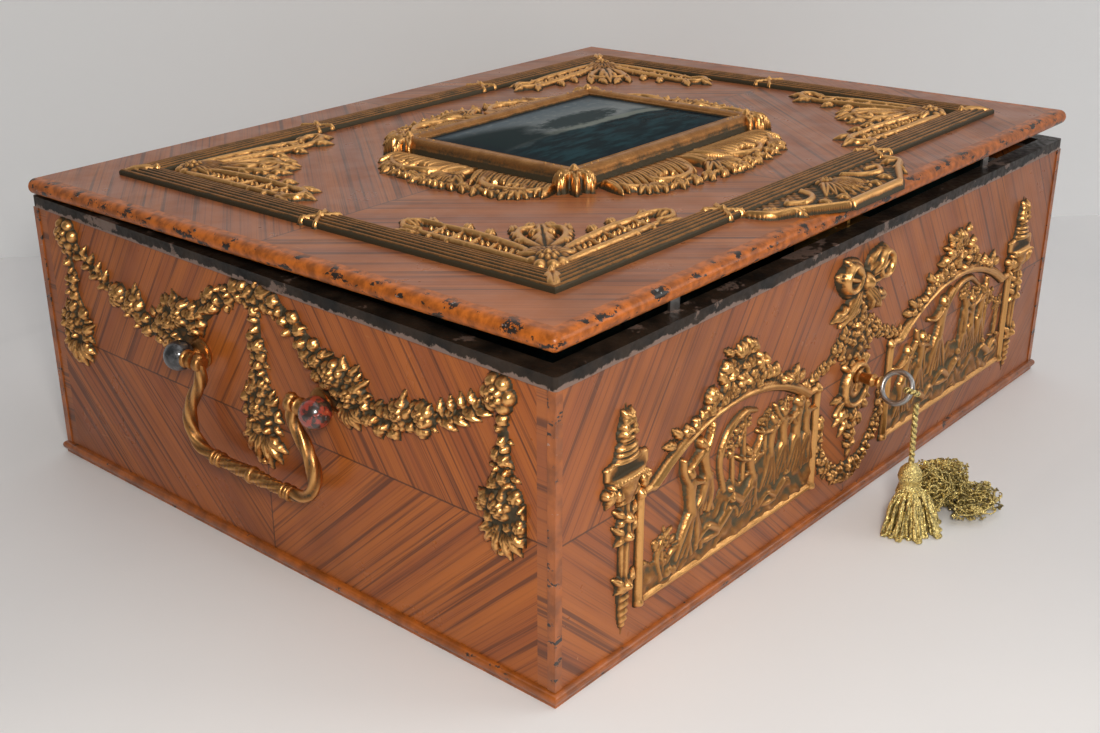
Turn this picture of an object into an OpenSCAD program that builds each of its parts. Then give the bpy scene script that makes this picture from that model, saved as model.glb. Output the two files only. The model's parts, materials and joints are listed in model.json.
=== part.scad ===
// Veneered casket with a cylinder music movement.
// Millimetres, +Z up. The origin is on the surface, under the middle of the case;
// +X runs along the front to the right and the front faces -Y.

/* [Case] */
// Length of the case along the front
case_w = 340; // [312:1:420]
// Depth of the case, front to back
case_d = 264; // [250:1:340]
// Height of the case to the top of the rim
case_h = 110; // [104:1:140]
// Thickness of the case walls
wall_t = 7; // [5.5:0.5:8.5]
// Thickness of the bottom board
base_t = 5; // [4:0.5:7]
// Height of the metal rim on the walls
rim_h = 4.5; // [3.5:0.5:6]
// Height of the bead round the foot of the case
bead_h = 5; // [4:0.5:6]
// How far the foot bead stands out
bead_proud = 2; // [1.5:0.25:3]

/* [Lid] */
// Thickness of the lid panel
lid_t = 6; // [5.5:0.5:8]
// Overhang of the lid at the front and the ends
lid_over = 1.5; // [1:0.25:2.5]
// How far the lid stands open at rest, degrees
lid_ajar = 1.4; // [1.2:0.1:1.6]
// Margin from the lid edge to the moulding at the ends
moulding_margin_x = 26; // [22:1:32]
// Margin from the lid edge to the moulding at front and back
moulding_margin_y = 23; // [20:1:28]
// Width of the reeded moulding
moulding_w = 12; // [9:0.5:14]
// Height of the reeded moulding
moulding_t = 2.4; // [2:0.2:3]
// Length of the plaque frame along X
plaque_w = 122; // [100:1:140]
// Depth of the plaque frame along Y
plaque_d = 96; // [80:1:110]
// Width of the plaque frame's border
plaque_border = 10; // [8:0.5:12]
// Height of the plaque frame above the lid
plaque_rise = 7.6; // [6.5:0.1:9]

/* [Handles] */
// Height of the handle pivots above the surface
handle_z = 72; // [64:0.5:78]
// Distance of the handle pivots from the end wall
handle_proud = 7; // [6.5:0.25:9]
// Half the distance between the tops of a handle's arms
handle_half = 25; // [22:0.5:30]
// Drop from the pivots to the grip
handle_drop = 35; // [30:0.5:38]
// Diameter of the handle bar
handle_bar = 4.4; // [3.8:0.2:5]
// Diameter of the knobs on the handle posts
knob_d = 11.4; // [10:0.2:12]

/* [Lock and key] */
// Height of the keyhole above the surface
key_z = 54; // [46:0.5:58]
// Diameter of the key shank
shank_d = 3.6; // [3:0.1:4.4]
// Outer diameter of the key ring
key_ring = 13.8; // [12:0.2:15]
// Turn of the key ring from upright at rest, degrees
key_lean = 30; // [0:5:40]
// Travel of the lock bolt
bolt_travel = 5; // [4:0.5:6]

/* [Movement] */
// Diameter of the pinned cylinder
drum_d = 34; // [28:1:40]
// Length of the pinned cylinder
drum_len = 120; // [110:2:144]
// Number of comb teeth
comb_teeth = 44; // [30:1:46]
// Height of the cylinder axis above the bedplate
axis_h = 31; // [29:0.5:33]

/* [Hidden] */
$fn = 48;

// Working clearances
run_gap = 0.05;      // radial, between a shaft and its bore
fit_gap = 0.3;       // between soft pieces and what holds them
lid_gap = 0.2;       // under the closed lid

// Planes of the case
half_w = case_w / 2;
half_d = case_d / 2;
in_w = half_w - wall_t;
in_d = half_d - wall_t;
wall_top = case_h - rim_h;
floor_z = base_t;

// Hinge: the barrel's axis lies in the plane of the lid's underside
barrel_r = 2.4;
pin_r = 1.2;
leaf_t = 1.4;
leaf_len = 36;
leaf_drop = 22;
hinge_x = case_w * 0.3;
hinge_y = half_d + 3.2;
hinge_z = case_h + lid_gap;
lid_back = 0.3;      // the lid's back edge behind the case
knuckle = (leaf_len - 2 * fit_gap) / 3;
barrel_clear = barrel_r + 0.3;
screw_r = 1;
screw_head_r = 2;
screw_head_t = 0.8;
screw_len = 5;

// Lid
lid_x = half_w + lid_over;
lid_front = half_d + lid_over;
lid_z = case_h + lid_gap;
lid_top = lid_z + lid_t;
lid_mid_y = (half_d + lid_back - lid_front) / 2;
lid_pad_t = 4;
guide_x = case_w * 0.315;
guide_w = 5;
guide_t = 1;
guide_h = 4.5;
guide_y = in_d + 1.5;

// Mounts
mount_t = 3;
relief_t = 1.8;
panel_x0 = case_w * 0.074;   // inner stile of a front panel
panel_x1 = case_w * 0.388;   // outer stile
panel_z0 = 17;
panel_z1 = 58.5;
panel_bar = 3;
arch_rise = 15;
arch_step = 7;
torch_x = case_w * 0.406;
arch_half = (panel_x1 - panel_x0) / 2 - arch_step;
arch_r = (arch_half * arch_half + arch_rise * arch_rise) / (2 * arch_rise);
panel_mid = (panel_x0 + panel_x1) / 2;

// Lock
lock_w = 36;
lock_t = 11;
lock_skin = 1.6;
lock_z0 = key_z - 12;
lock_z1 = case_h - 1;
bolt_t = 3;
bolt_gap = 0.3;
bit_r = 5.5;
ring_bar = 2;
ring_y = half_d + 11.4 + key_ring / 2;   // centre of the key ring in front of the case
hook_reach = 12.6;

// Cord and tassel
cord_d = 2.2;
cord_x = 0;
cord_y = -(ring_y + key_ring / 2 + cord_d / 2 + 0.3);
cord_route = [[0, 50], [0.1, 46], [0.2, 42], [0.4, 38], [0.6, 34], [0.9, 29], [1.2, 25]];
head_z0 = 13;
head_z1 = 25;
head_r = 4.6;

// Movement
bed_y0 = half_d - 102;
bed_y1 = half_d - 18;
bed_t = 5;
bed_z = floor_z + bed_t;
axis_z = bed_z + axis_h;
cyl_y = half_d - 52;
cyl_x0 = 10 - drum_len / 2;
cyl_x1 = cyl_x0 + drum_len;
arbor_r = 2.5;
barrel_arbor_r = 3;
module_big = 0.8;
module_small = 0.5;
great_teeth = 48;
pinion_teeth = 16;
small_teeth = 64;
worm_teeth = 30;
mesh_big = module_big * (great_teeth + pinion_teeth) / 2;
mesh_small = module_small * (small_teeth + pinion_teeth) / 2;
barrel_y = cyl_y - mesh_big;
barrel_x0 = cyl_x0 - 48;
gov_y = cyl_y - mesh_small;
gov_x = cyl_x1 + 6;
worm_r = 2.2;
fly_half = 9;
worm_x = gov_x + 13;
fly_y = gov_y - module_small * (worm_teeth + 2) / 2 - worm_r - 0.15;
bed_x0 = barrel_x0 - 20;
bed_x1 = worm_x + 39;
comb_z = axis_z;
comb_tip = cyl_y - drum_d / 2 - 1.7;
comb_back = comb_tip - 27;
tooth_pitch = (drum_len - 10) / comb_teeth;
cover_z = floor_z + 86;

// ---- helpers -----------------------------------------------------------------

module box(x0, y0, z0, x1, y1, z1) {
    translate([x0, y0, z0]) cube([x1 - x0, y1 - y0, z1 - z0]);
}

// Cylinder along X from x0 to x1
module rod_x(x0, x1, y, z, r) {
    translate([x0, y, z]) rotate([0, 90, 0]) cylinder(r = r, h = x1 - x0);
}

// Cylinder along Y from y0 to y1
module rod_y(y0, y1, x, z, r) {
    translate([x, y0, z]) rotate([-90, 0, 0]) cylinder(r = r, h = y1 - y0);
}

// Rectangle with its corners rounded by circles
module round_rect(w, d, r) {
    square([w - 2 * r, d], center = true);
    square([w, d - 2 * r], center = true);
    for (sx = [-1, 1], sy = [-1, 1]) translate([sx * (w / 2 - r), sy * (d / 2 - r)]) circle(r = r);
}

// Lays an outline drawn in X and Z against the front wall, t thick
module on_front(t) {
    translate([0, -half_d, 0]) rotate([90, 0, 0]) linear_extrude(t) children();
}

// Lays an outline drawn in Y and Z against the left wall, t thick
module on_left(t) {
    translate([-half_w, 0, 0]) rotate([90, 0, -90]) linear_extrude(t) children();
}

// The lid's pieces are drawn closed and turned open about the hinge
module on_lid() {
    translate([0, hinge_y, hinge_z]) rotate([-lid_ajar, 0, 0]) translate([0, -hinge_y, -hinge_z]) children();
}

// Gear outline: straight tapered teeth with room at the sides and the roots
function gear_points(teeth, m) = [
    for (i = [0 : teeth - 1], k = [0 : 3])
        let (pitch_r = teeth * m / 2,
             r = (k == 0 || k == 3) ? pitch_r - 1.2 * m : pitch_r + 0.85 * m,
             side = [-0.29, -0.10, 0.10, 0.29][k],
             a = 360 / teeth * (i + side))
        [r * cos(a), r * sin(a)]];

module gear_x(x0, x1, y, z, teeth, m, phase, bore) {
    translate([x0, y, z]) rotate([0, 90, 0]) rotate([0, 0, phase]) linear_extrude(x1 - x0)
        difference() {
            polygon(gear_points(teeth, m));
            if (bore > 0) circle(r = bore);
        }
}

// ---- case --------------------------------------------------------------------

module front_wall() {
    color("sienna") difference() {
        box(-half_w, -half_d, 0, half_w, -in_d, wall_top);
        rod_y(-half_d - 1, -in_d + 1, 0, key_z, shank_d / 2 + 1.4);
    }
}

module back_wall() {
    color("sienna") difference() {
        box(-half_w, in_d, 0, half_w, half_d, wall_top);
        for (p = screw_places()) rod_y(half_d - screw_len, half_d + 1, p[0], p[1], screw_r + run_gap);
    }
}

module end_wall(s) {
    color("peru") mirror([s < 0 ? 0 : 1, 0, 0]) box(-half_w, -in_d, 0, -in_w, in_d, wall_top);
}

module left_wall() { end_wall(-1); }

module right_wall() { end_wall(1); }

module base_board() {
    color("tan") box(-in_w, -in_d, 0, in_w, in_d, floor_z);
}

// Foot bead in two steps, the upper one set back
module base_moulding() {
    bead_step = bead_h * 0.3;
    color("chocolate") {
        foot_band(bead_proud, 0, bead_h - bead_step);
        foot_band(bead_proud * 0.6, bead_h - bead_step, bead_step);
    }
}

module foot_band(proud, z0, h) {
    translate([0, 0, z0]) linear_extrude(h) difference() {
        round_rect(case_w + 2 * proud, case_d + 2 * proud, proud * 0.9);
        square([case_w, case_d], center = true);
    }
}

module top_rim() {
    color("dimgray") difference() {
        translate([0, 0, wall_top]) linear_extrude(rim_h) difference() {
            round_rect(case_w + 1, case_d + 1, 1.5);
            square([2 * in_w, 2 * in_d], center = true);
        }
        for (s = [-1, 1]) {
            box(s * hinge_x - leaf_len / 2 - fit_gap, half_d, wall_top - 1,
                s * hinge_x + leaf_len / 2 + fit_gap, half_d + 2, case_h + 1);
            box(s * guide_x - guide_w / 2 - run_gap, -guide_y - run_gap, case_h - 3,
                s * guide_x + guide_w / 2 + run_gap, -guide_y + guide_t + run_gap, case_h + 1);
        }
    }
}

module corner_edgings() {
    edge_leg = 2.6;
    edge_t = 0.5;
    color("orangered") for (sx = [0, 1], sy = [0, 1]) mirror([sx, 0, 0]) mirror([0, sy, 0]) difference() {
        box(-half_w - edge_t, -half_d - edge_t, bead_h + 0.2, -half_w + edge_leg, -half_d + edge_leg, wall_top);
        box(-half_w, -half_d, 0, half_w, half_d, case_h);
    }
}

module lid_guides() {
    color("silver") for (s = [-1, 1])
        box(s * guide_x - guide_w / 2, -guide_y, case_h - 3,
            s * guide_x + guide_w / 2, -guide_y + guide_t, case_h + guide_h);
}

// ---- hinges ------------------------------------------------------------------

function screw_places() = [for (s = [-1, 1], k = [-1, 0, 1])
    [s * hinge_x + k * 12, hinge_z - 11 - (k == 0 ? 6 : 0)]];

module case_hinge_leaves() {
    color("darkgoldenrod") for (s = [-1, 1]) difference() {
        union() {
            box(s * hinge_x - leaf_len / 2, half_d, hinge_z - leaf_drop,
                s * hinge_x + leaf_len / 2, half_d + leaf_t, hinge_z - barrel_clear);
            for (e = [0, 1]) {
                x0 = s * hinge_x - leaf_len / 2 + e * (leaf_len - knuckle);
                box(x0, half_d, hinge_z - barrel_clear - 1, x0 + knuckle, half_d + leaf_t, hinge_z - lid_gap);
                rod_x(x0, x0 + knuckle, hinge_y, hinge_z, barrel_r);
            }
        }
        rod_x(s * hinge_x - leaf_len, s * hinge_x + leaf_len, hinge_y, hinge_z, pin_r + run_gap);
        for (p = screw_places()) rod_y(half_d - 1, half_d + leaf_t + 1, p[0], p[1], screw_r + run_gap);
    }
}

module hinge_pins() {
    color("darkgoldenrod") for (s = [-1, 1])
        rod_x(s * hinge_x - leaf_len / 2, s * hinge_x + leaf_len / 2, hinge_y, hinge_z, pin_r);
}

module hinge_screws() {
    color("gray") for (p = screw_places()) difference() {
        union() {
            rod_y(half_d - screw_len + 0.5, half_d + leaf_t, p[0], p[1], screw_r);
            rod_y(half_d + leaf_t, half_d + leaf_t + screw_head_t, p[0], p[1], screw_head_r);
        }
        box(p[0] - 3, half_d + leaf_t + 0.4, p[1] - 0.25, p[0] + 3, half_d + leaf_t + 2, p[1] + 0.25);
    }
}

module lid_hinge_leaves() {
    leaf_y = half_d + lid_back;
    color("darkgoldenrod") on_lid() for (s = [-1, 1]) difference() {
        union() {
            box(s * hinge_x - leaf_len / 2, leaf_y, hinge_z + barrel_clear,
                s * hinge_x + leaf_len / 2, leaf_y + leaf_t, lid_top - 0.6);
            box(s * hinge_x - knuckle / 2, leaf_y, hinge_z + 0.4,
                s * hinge_x + knuckle / 2, leaf_y + leaf_t, hinge_z + barrel_clear + 1);
            rod_x(s * hinge_x - knuckle / 2, s * hinge_x + knuckle / 2, hinge_y, hinge_z, barrel_r);
        }
        rod_x(s * hinge_x - leaf_len, s * hinge_x + leaf_len, hinge_y, hinge_z, pin_r + run_gap);
        box(-half_w, half_d - 5, hinge_z - 5, half_w, leaf_y, lid_top + 1);
    }
}

// ---- inside of the case --------------------------------------------------------

partition_y = half_d - 110;
partition_t = 4;
lining_top = case_h - 12;
lining_t = 6;
lining_front = lock_t + 3;

// Board between the lined well and the movement, and the ledges under the cover
module compartment_wall() {
    ledge = 5;
    color("tan") {
        box(-in_w, partition_y, floor_z, in_w, partition_y + partition_t, cover_z);
        box(-in_w, in_d - ledge, cover_z - ledge, in_w, in_d, cover_z);
        box(in_w - ledge, partition_y + partition_t, cover_z - ledge, in_w, in_d - ledge, cover_z);
    }
}

module well_lining() {
    color("darkslategray") difference() {
        box(-in_w, -in_d, floor_z, in_w, partition_y, lining_top);
        box(-in_w + lining_t, -in_d + lining_front, floor_z - 1, in_w - lining_t, partition_y - lining_t, case_h);
        box(-lock_w / 2 - 1, -in_d - 1, lock_z0 - 1, lock_w / 2 + 1, -in_d + lock_t + 1, case_h);
    }
}

module well_cushion() {
    color("darkslategray") box(-in_w + lining_t + fit_gap, -in_d + lining_front + fit_gap, floor_z,
        in_w - lining_t - fit_gap, partition_y - lining_t - fit_gap, floor_z + 18);
}

cover_x0 = barrel_x0 - 2;
cover_rail = 10;
cover_t = 4;
glass_t = 2;
rebate = 3;

// Frame over the movement: rebated on top for its glass
module cover_frame() {
    color("peru") difference() {
        box(cover_x0, partition_y, cover_z, in_w - fit_gap, in_d - fit_gap, cover_z + cover_t);
        box(cover_x0 + cover_rail, partition_y + cover_rail, cover_z - 1,
            in_w - cover_rail, in_d - cover_rail, cover_z + cover_t + 1);
        box(cover_x0 + cover_rail - rebate, partition_y + cover_rail - rebate, cover_z + cover_t - glass_t,
            in_w - cover_rail + rebate, in_d - cover_rail + rebate, cover_z + cover_t + 1);
    }
}

module cover_glass() {
    edge = rebate - 0.2;
    color("lightblue") box(cover_x0 + cover_rail - edge, partition_y + cover_rail - edge,
        cover_z + cover_t - glass_t, in_w - cover_rail + edge, in_d - cover_rail + edge, cover_z + cover_t);
}

// ---- front mounts ---------------------------------------------------------------

// Panel frame on the right half: stiles, bottom rail, short steps and an arch
module panel_frame_outline() {
    translate([panel_x0, panel_z0]) square([panel_bar, panel_z1 - panel_z0]);
    translate([panel_x1 - panel_bar, panel_z0]) square([panel_bar, panel_z1 - panel_z0]);
    translate([panel_x0, panel_z0]) square([panel_x1 - panel_x0, panel_bar]);
    for (x = [panel_x0, panel_x1 - arch_step - 1])
        translate([x, panel_z1 - panel_bar]) square([arch_step + 1, panel_bar]);
    translate([panel_mid, panel_z1 + arch_rise - arch_r]) intersection() {
        difference() {
            circle(r = arch_r, $fn = 180);
            circle(r = arch_r - panel_bar, $fn = 180);
        }
        translate([-arch_half - 2, arch_r - arch_rise - panel_bar])
            square([2 * arch_half + 4, arch_rise + panel_bar + 1]);
    }
}

// Flower crest that follows the top of the arch
module crest_outline() {
    for (a = [-26 : 4 : 26]) {
        size = 4.2 + 5.5 * exp(-a * a / 60);
        translate([panel_mid - 3 + (arch_r + size * 0.62) * sin(a), 
                   panel_z1 + arch_rise - arch_r + (arch_r + size * 0.62) * cos(a)]) circle(r = size, $fn = 24);
    }
}

module front_panel(s) {
    color("goldenrod") mirror([s < 0 ? 1 : 0, 0, 0]) on_front(mount_t) {
        panel_frame_outline();
        difference() {
            crest_outline();
            translate([panel_mid, panel_z1 + arch_rise - arch_r]) circle(r = arch_r - 1, $fn = 180);
        }
    }
}

module front_panel_left() { front_panel(-1); }

module front_panel_right() { front_panel(1); }

// Low relief: ground, a seated and a standing figure group, and trees
module relief_outline() {
    x0 = panel_x0 + panel_bar;
    x1 = panel_x1 - panel_bar;
    z0 = panel_z0 + panel_bar;
    span = x1 - x0;
    translate([x0, z0]) square([span, 12]);
    for (k = [0 : 7]) {
        tall = 8 + 7 * abs(sin(k * 77));
        translate([x0 + 7 + k * (span - 14) / 7, z0 + 10 + tall / 2]) circle(r = 6.8, $fn = 24);
        translate([x0 + 7 + k * (span - 14) / 7, z0 + 12 + tall]) circle(r = 5.2, $fn = 24);
    }
}

module front_relief(s) {
    color("darkgoldenrod") mirror([s < 0 ? 1 : 0, 0, 0]) on_front(relief_t) relief_outline();
}

module front_relief_left() { front_relief(-1); }

module front_relief_right() { front_relief(1); }

module torch_mounts() {
    color("goldenrod") for (s = [-1, 1]) translate([s * torch_x, -half_d, 0]) rotate([0, 0, 180])
        rotate_extrude(angle = 180) polygon([
            [0, 12], [1.5, 13], [2.2, 18], [2.8, 40], [3.4, 58], [4.6, 64], [9.2, 68], [9.6, 71],
            [4.2, 75], [3.2, 78], [3.9, 81], [2.4, 85], [1.2, 88], [0, 89]]);
}

module ribbon_bow() {
    color("goldenrod") on_front(mount_t) {
        for (s = [-1, 1]) {
            translate([s * 10, 95]) circle(r = 7, $fn = 32);
            translate([s * 11, 84]) circle(r = 4.6, $fn = 32);
        }
        translate([0, 88]) circle(r = 7.4, $fn = 32);
        polygon([[-3, 84], [3, 84], [16, 66], [34, 63], [34, 60.6], [14, 61], [-14, 61], [-34, 60.6],
            [-34, 63], [-16, 66]]);
    }
}

module laurel_swag() {
    color("goldenrod") on_front(mount_t) difference() {
        for (t = [-72 : 9 : 72])
            translate([25 * sin(t) / sin(72), 31 - 19 * (cos(t) - cos(72)) / (1 - cos(72))])
                circle(r = 3, $fn = 24);
        for (s = [-1, 1]) translate([s * (panel_x0 + 2), 31]) square([4.1, 60], center = true);
    }
}

module escutcheon() {
    color("goldenrod") on_front(mount_t * 0.7) difference() {
        union() {
            translate([0, key_z - 4]) circle(r = 10);
            translate([-1.6, key_z - 32]) square([3.2, 20]);
        }
        translate([0, key_z]) circle(r = shank_d / 2 + 0.5);
        translate([-1, key_z - bit_r - 1]) square([2, bit_r]);
    }
}

// ---- end mounts -------------------------------------------------------------------

swag_half = case_d * 0.435;

// One garland: three drops and two swags, drawn about the middle of the wall
module garland_outline() {
    difference() {
        union() {
            for (s = [-1, 1]) {
                for (k = [0 : 14]) {
                    u = k / 14;
                    cluster = exp(-pow((u - 0.4) / 0.2, 2));
                    translate([s * u * swag_half, 102 - 22 * sin(180 * pow(u, 0.8)) ])
                        circle(r = 4 + 6 * cluster, $fn = 24);
                }
                for (k = [0 : 6]) translate([s * swag_half, 100 - k * 7.4])
                    circle(r = [6, 4, 6, 5, 9, 9.5, 4][k], $fn = 24);
            }
            for (k = [0 : 7]) translate([0, 102 - k * 8]) circle(r = [5, 4, 5.5, 6.5, 7, 9.5, 9, 4][k], $fn = 24);
        }
        for (s = [-1, 1]) translate([s * (handle_half + 9), handle_z]) circle(r = knob_d / 2 + 3.5);
        translate([-half_d, wall_top - 0.5]) square([case_d, 20]);
    }
}

module end_garland(s) {
    color("goldenrod") mirror([s < 0 ? 0 : 1, 0, 0]) on_left(mount_t) garland_outline();
}

module end_garland_left() { end_garland(-1); }

module end_garland_right() { end_garland(1); }

// ---- handles -------------------------------------------------------------------------

post_r = 3.4;
bail_pin_r = 1.5;
bail_swell = 1.08;
socket_y0 = handle_half + 2.6;
socket_y1 = handle_half + 7;

module handle_posts() {
    px = half_w + handle_proud;
    color("dimgray") for (sx = [0, 1], sy = [0, 1]) mirror([sx, 0, 0]) mirror([0, sy, 0]) difference() {
        union() {
            rod_x(-px, -half_w, socket_y1, handle_z, 2.2);
            rod_x(-half_w - 1, -half_w, socket_y1, handle_z, 4);
            rod_y(socket_y0, handle_half + 10, -px, handle_z, post_r);
            translate([-px, handle_half + 11, handle_z]) sphere(r = knob_d / 2);
        }
        rod_y(socket_y0 - 1, socket_y1 - 1, -px, handle_z, bail_pin_r + run_gap);
        box(-half_w, 0, 0, half_w, half_d, case_h);
    }
}

// Round bar along the line from [y, z] = a to b with a slightly larger ball at its start
module bail_bar(a, b, r) {
    d = b - a;
    translate([0, a[0], a[1]]) {
        sphere(r = r * bail_swell);
        rotate([atan2(d[1], d[0]) - 90, 0, 0]) cylinder(r = r, h = norm(d));
    }
}

// Arm of a bail, from its pivot down to the grip
bail_arm = [[handle_half - 1.5, 0], [handle_half, -7], [handle_half + 5, -14], [handle_half + 8.5, -22],
    [handle_half + 7.5, -29], [handle_half + 3, -33.5], [handle_half - 3, -handle_drop]];

module bail(s) {
    px = half_w + handle_proud;
    r = handle_bar / 2;
    color("darkgoldenrod") mirror([s < 0 ? 0 : 1, 0, 0]) translate([-px, 0, handle_z])
        for (sy = [0, 1]) mirror([0, sy, 0]) {
            for (i = [0 : len(bail_arm) - 2]) bail_bar(bail_arm[i], bail_arm[i + 1], r);
            translate([0, 0, -handle_drop]) rotate([-90, 0, 0]) cylinder(r = r, h = handle_half - 3);
            translate([0, handle_half - 3, -handle_drop]) sphere(r = r * bail_swell);
            translate([0, handle_half - 1.5, 0]) rotate([-90, 0, 0])
                cylinder(r = bail_pin_r, h = socket_y1 - 1.5 - handle_half + 1.5);
        }
}

module bail_left() { bail(-1); }

module bail_right() { bail(1); }

// ---- lock and key ------------------------------------------------------------------------

module lock_case() {
    y0 = -in_d;
    y1 = -in_d + lock_t;
    color("darkgoldenrod") difference() {
        box(-lock_w / 2, y0, lock_z0, lock_w / 2, y1, lock_z1);
        box(-lock_w / 2 + lock_skin, y0 + lock_skin, lock_z0 + lock_skin,
            lock_w / 2 - lock_skin, y1 - lock_skin, lock_z1 - lock_skin);
        rod_y(y0 - 1, y0 + lock_skin + 1, 0, key_z, shank_d / 2 + run_gap);
        box(-2, y0 + lock_skin + 0.6, lock_z1 - 5, hook_reach, y1 - lock_skin - 0.6, lock_z1 + 1);
    }
}

bolt_top = lock_z1 - lock_skin - 3.2;
bolt_x0 = -lock_w / 2 + lock_skin + bolt_gap;

module lock_bolt() {
    y0 = -in_d + lock_skin + bolt_gap + 1.4;
    y1 = -in_d + lock_t - lock_skin - bolt_gap - 1.4;
    color("silver") {
        box(bolt_x0, y0, bolt_top - bolt_t, bolt_x0 + 15, y1, bolt_top);
        box(bolt_x0, y0, key_z + bit_r + 1, bolt_x0 + 8, y1, bolt_top - bolt_t + 0.01);
    }
}

// Plate under the lid with one hook that hangs into the lock
module lock_strike() {
    y0 = -in_d + lock_skin + bolt_gap + 1.4;
    y1 = -in_d + lock_t - lock_skin - bolt_gap - 1.4;
    nib_top = bolt_top - bolt_t - 0.4;
    nib_t = 1.6;
    hook_x = bolt_x0 + 15 + bolt_travel + 1;
    color("darkgoldenrod") on_lid() {
        box(-14, -in_d + 0.5, lid_z - 0.8, 14, -in_d + lock_t, lid_z);
        box(hook_x, y0, nib_top - nib_t, hook_x + 2, y1, lid_z - 0.8);
        box(hook_x - 5, y0, nib_top - nib_t, hook_x, y1, nib_top);
    }
}

module key() {
    tip_y = -in_d + lock_t - lock_skin - 1.2;
    bow_in = ring_y - key_ring / 2 + ring_bar / 2;
    color("gray") translate([0, 0, key_z]) rotate([0, key_lean, 0]) translate([0, 0, -key_z]) {
        rod_y(-bow_in, tip_y, 0, key_z, shank_d / 2);
        rod_y(-bow_in + 0.3, -half_d - mount_t - 0.6, 0, key_z, 2.7);
        translate([0, -ring_y, key_z]) rotate([0, 90, 0]) rotate_extrude()
            translate([key_ring / 2 - ring_bar / 2, 0]) circle(r = ring_bar / 2);
        box(-0.7, -in_d + lock_skin + 3.2, key_z - bit_r, 0.7, -in_d + lock_skin + 6, key_z);
    }
}

module cord_loop() {
    wire_r = cord_d / 2 - 0.1;
    color("gold") translate([0, -ring_y - key_ring / 2 + ring_bar / 2, key_z]) rotate([0, key_lean, 0])
        rotate_extrude() translate([ring_bar / 2 + wire_r + 0.2, 0]) circle(r = wire_r);
}

// Rings of points swept along the cord's route: x follows the route, the plane is y = cord_y
function ring_points(p, r, sides) = [for (k = [0 : sides - 1])
    [cord_x + p[0] + r * cos(k * 360 / sides), cord_y + r * sin(k * 360 / sides), p[1]]];

module key_cord() {
    sides = 8;
    rings = len(cord_route);
    points = [for (p = cord_route) each ring_points(p, cord_d / 2, sides)];
    walls = [for (i = [0 : rings - 2], k = [0 : sides - 1])
        [i * sides + k, (i + 1) * sides + k, (i + 1) * sides + (k + 1) % sides, i * sides + (k + 1) % sides]];
    top = [for (k = [0 : sides - 1]) k];
    bottom = [for (k = [0 : sides - 1]) rings * sides - 1 - k];
    color("gold") polyhedron(points = points, faces = concat([top], walls, [bottom]));
}

// Tassel: round head, a skirt that leans out onto the surface, and a heap of loose thread
module tassel() {
    color("gold") {
        translate([1.2, cord_y, head_z0]) cylinder(r = head_r, h = head_z1 - head_z0);
        hull() {
            translate([1.2, cord_y, head_z0]) cylinder(r = head_r - 0.4, h = 0.1, $fn = 24);
            translate([-3, cord_y - 10, 0]) cylinder(r = 11, h = 2.5, $fn = 24);
        }
        hull() {
            translate([14, cord_y - 8, 0]) cylinder(r = 8, h = 11, $fn = 24);
            translate([34, cord_y - 6, 0]) cylinder(r = 11, h = 8, $fn = 24);
            translate([26, cord_y - 20, 0]) cylinder(r = 9, h = 6, $fn = 24);
        }
    }
}

// ---- lid -----------------------------------------------------------------------------------

module lid_panel() {
    y0 = -lid_front;
    y1 = half_d + lid_back;
    edge_r = lid_t / 2;
    color("saddlebrown") on_lid() difference() {
        union() {
            box(-lid_x + edge_r, y0 + edge_r, lid_z, lid_x - edge_r, y1, lid_top);
            rod_x(-lid_x + edge_r, lid_x - edge_r, y0 + edge_r, lid_z + edge_r, edge_r);
            for (s = [-1, 1]) {
                rod_y(y0 + edge_r, y1, s * (lid_x - edge_r), lid_z + edge_r, edge_r);
                translate([s * (lid_x - edge_r), y0 + edge_r, lid_z + edge_r]) sphere(r = edge_r);
            }
        }
        for (s = [-1, 1]) box(s * guide_x - guide_w / 2 - 1, -guide_y - 1.5, lid_z - 1,
            s * guide_x + guide_w / 2 + 1, -guide_y + guide_t + 1.5, case_h + guide_h + 0.5);
    }
}

module lid_lining() {
    color("darkslategray") on_lid() box(-in_w + 8, -in_d + lining_front, lid_z - lid_pad_t,
        in_w - 8, in_d - 8, lid_z);
}

mould_w = 2 * lid_x - 2 * moulding_margin_x;
mould_d = 2 * lid_front - 2 * moulding_margin_y;

module lid_moulding() {
    color("darkolivegreen") on_lid() translate([0, lid_mid_y, lid_top]) linear_extrude(moulding_t) difference() {
        square([mould_w, mould_d], center = true);
        square([mould_w - 2 * moulding_w, mould_d - 2 * moulding_w], center = true);
    }
}

module lid_ties() {
    tie_x = case_w * 0.15;
    color("darkolivegreen") on_lid() translate([0, lid_mid_y, lid_top + moulding_t]) linear_extrude(0.8) {
        for (sx = [-1, 1], sy = [-1, 1], turn = [-32, 32])
            translate([sx * tie_x, sy * (mould_d - moulding_w) / 2]) rotate(turn)
                square([2.4, moulding_w * 0.96], center = true);
        for (sx = [-1, 1], turn = [-32, 32]) translate([sx * (mould_w - moulding_w) / 2, 0]) rotate(90 + turn)
            square([2.4, moulding_w * 0.96], center = true);
        for (sx = [-1, 1], sy = [-1, 1]) translate([sx * (mould_w - moulding_w) / 2, sy * (mould_d - moulding_w) / 2])
            rotate(-45 * sx * sy) square([3, moulding_w * 1.1], center = true);
    }
}

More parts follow.
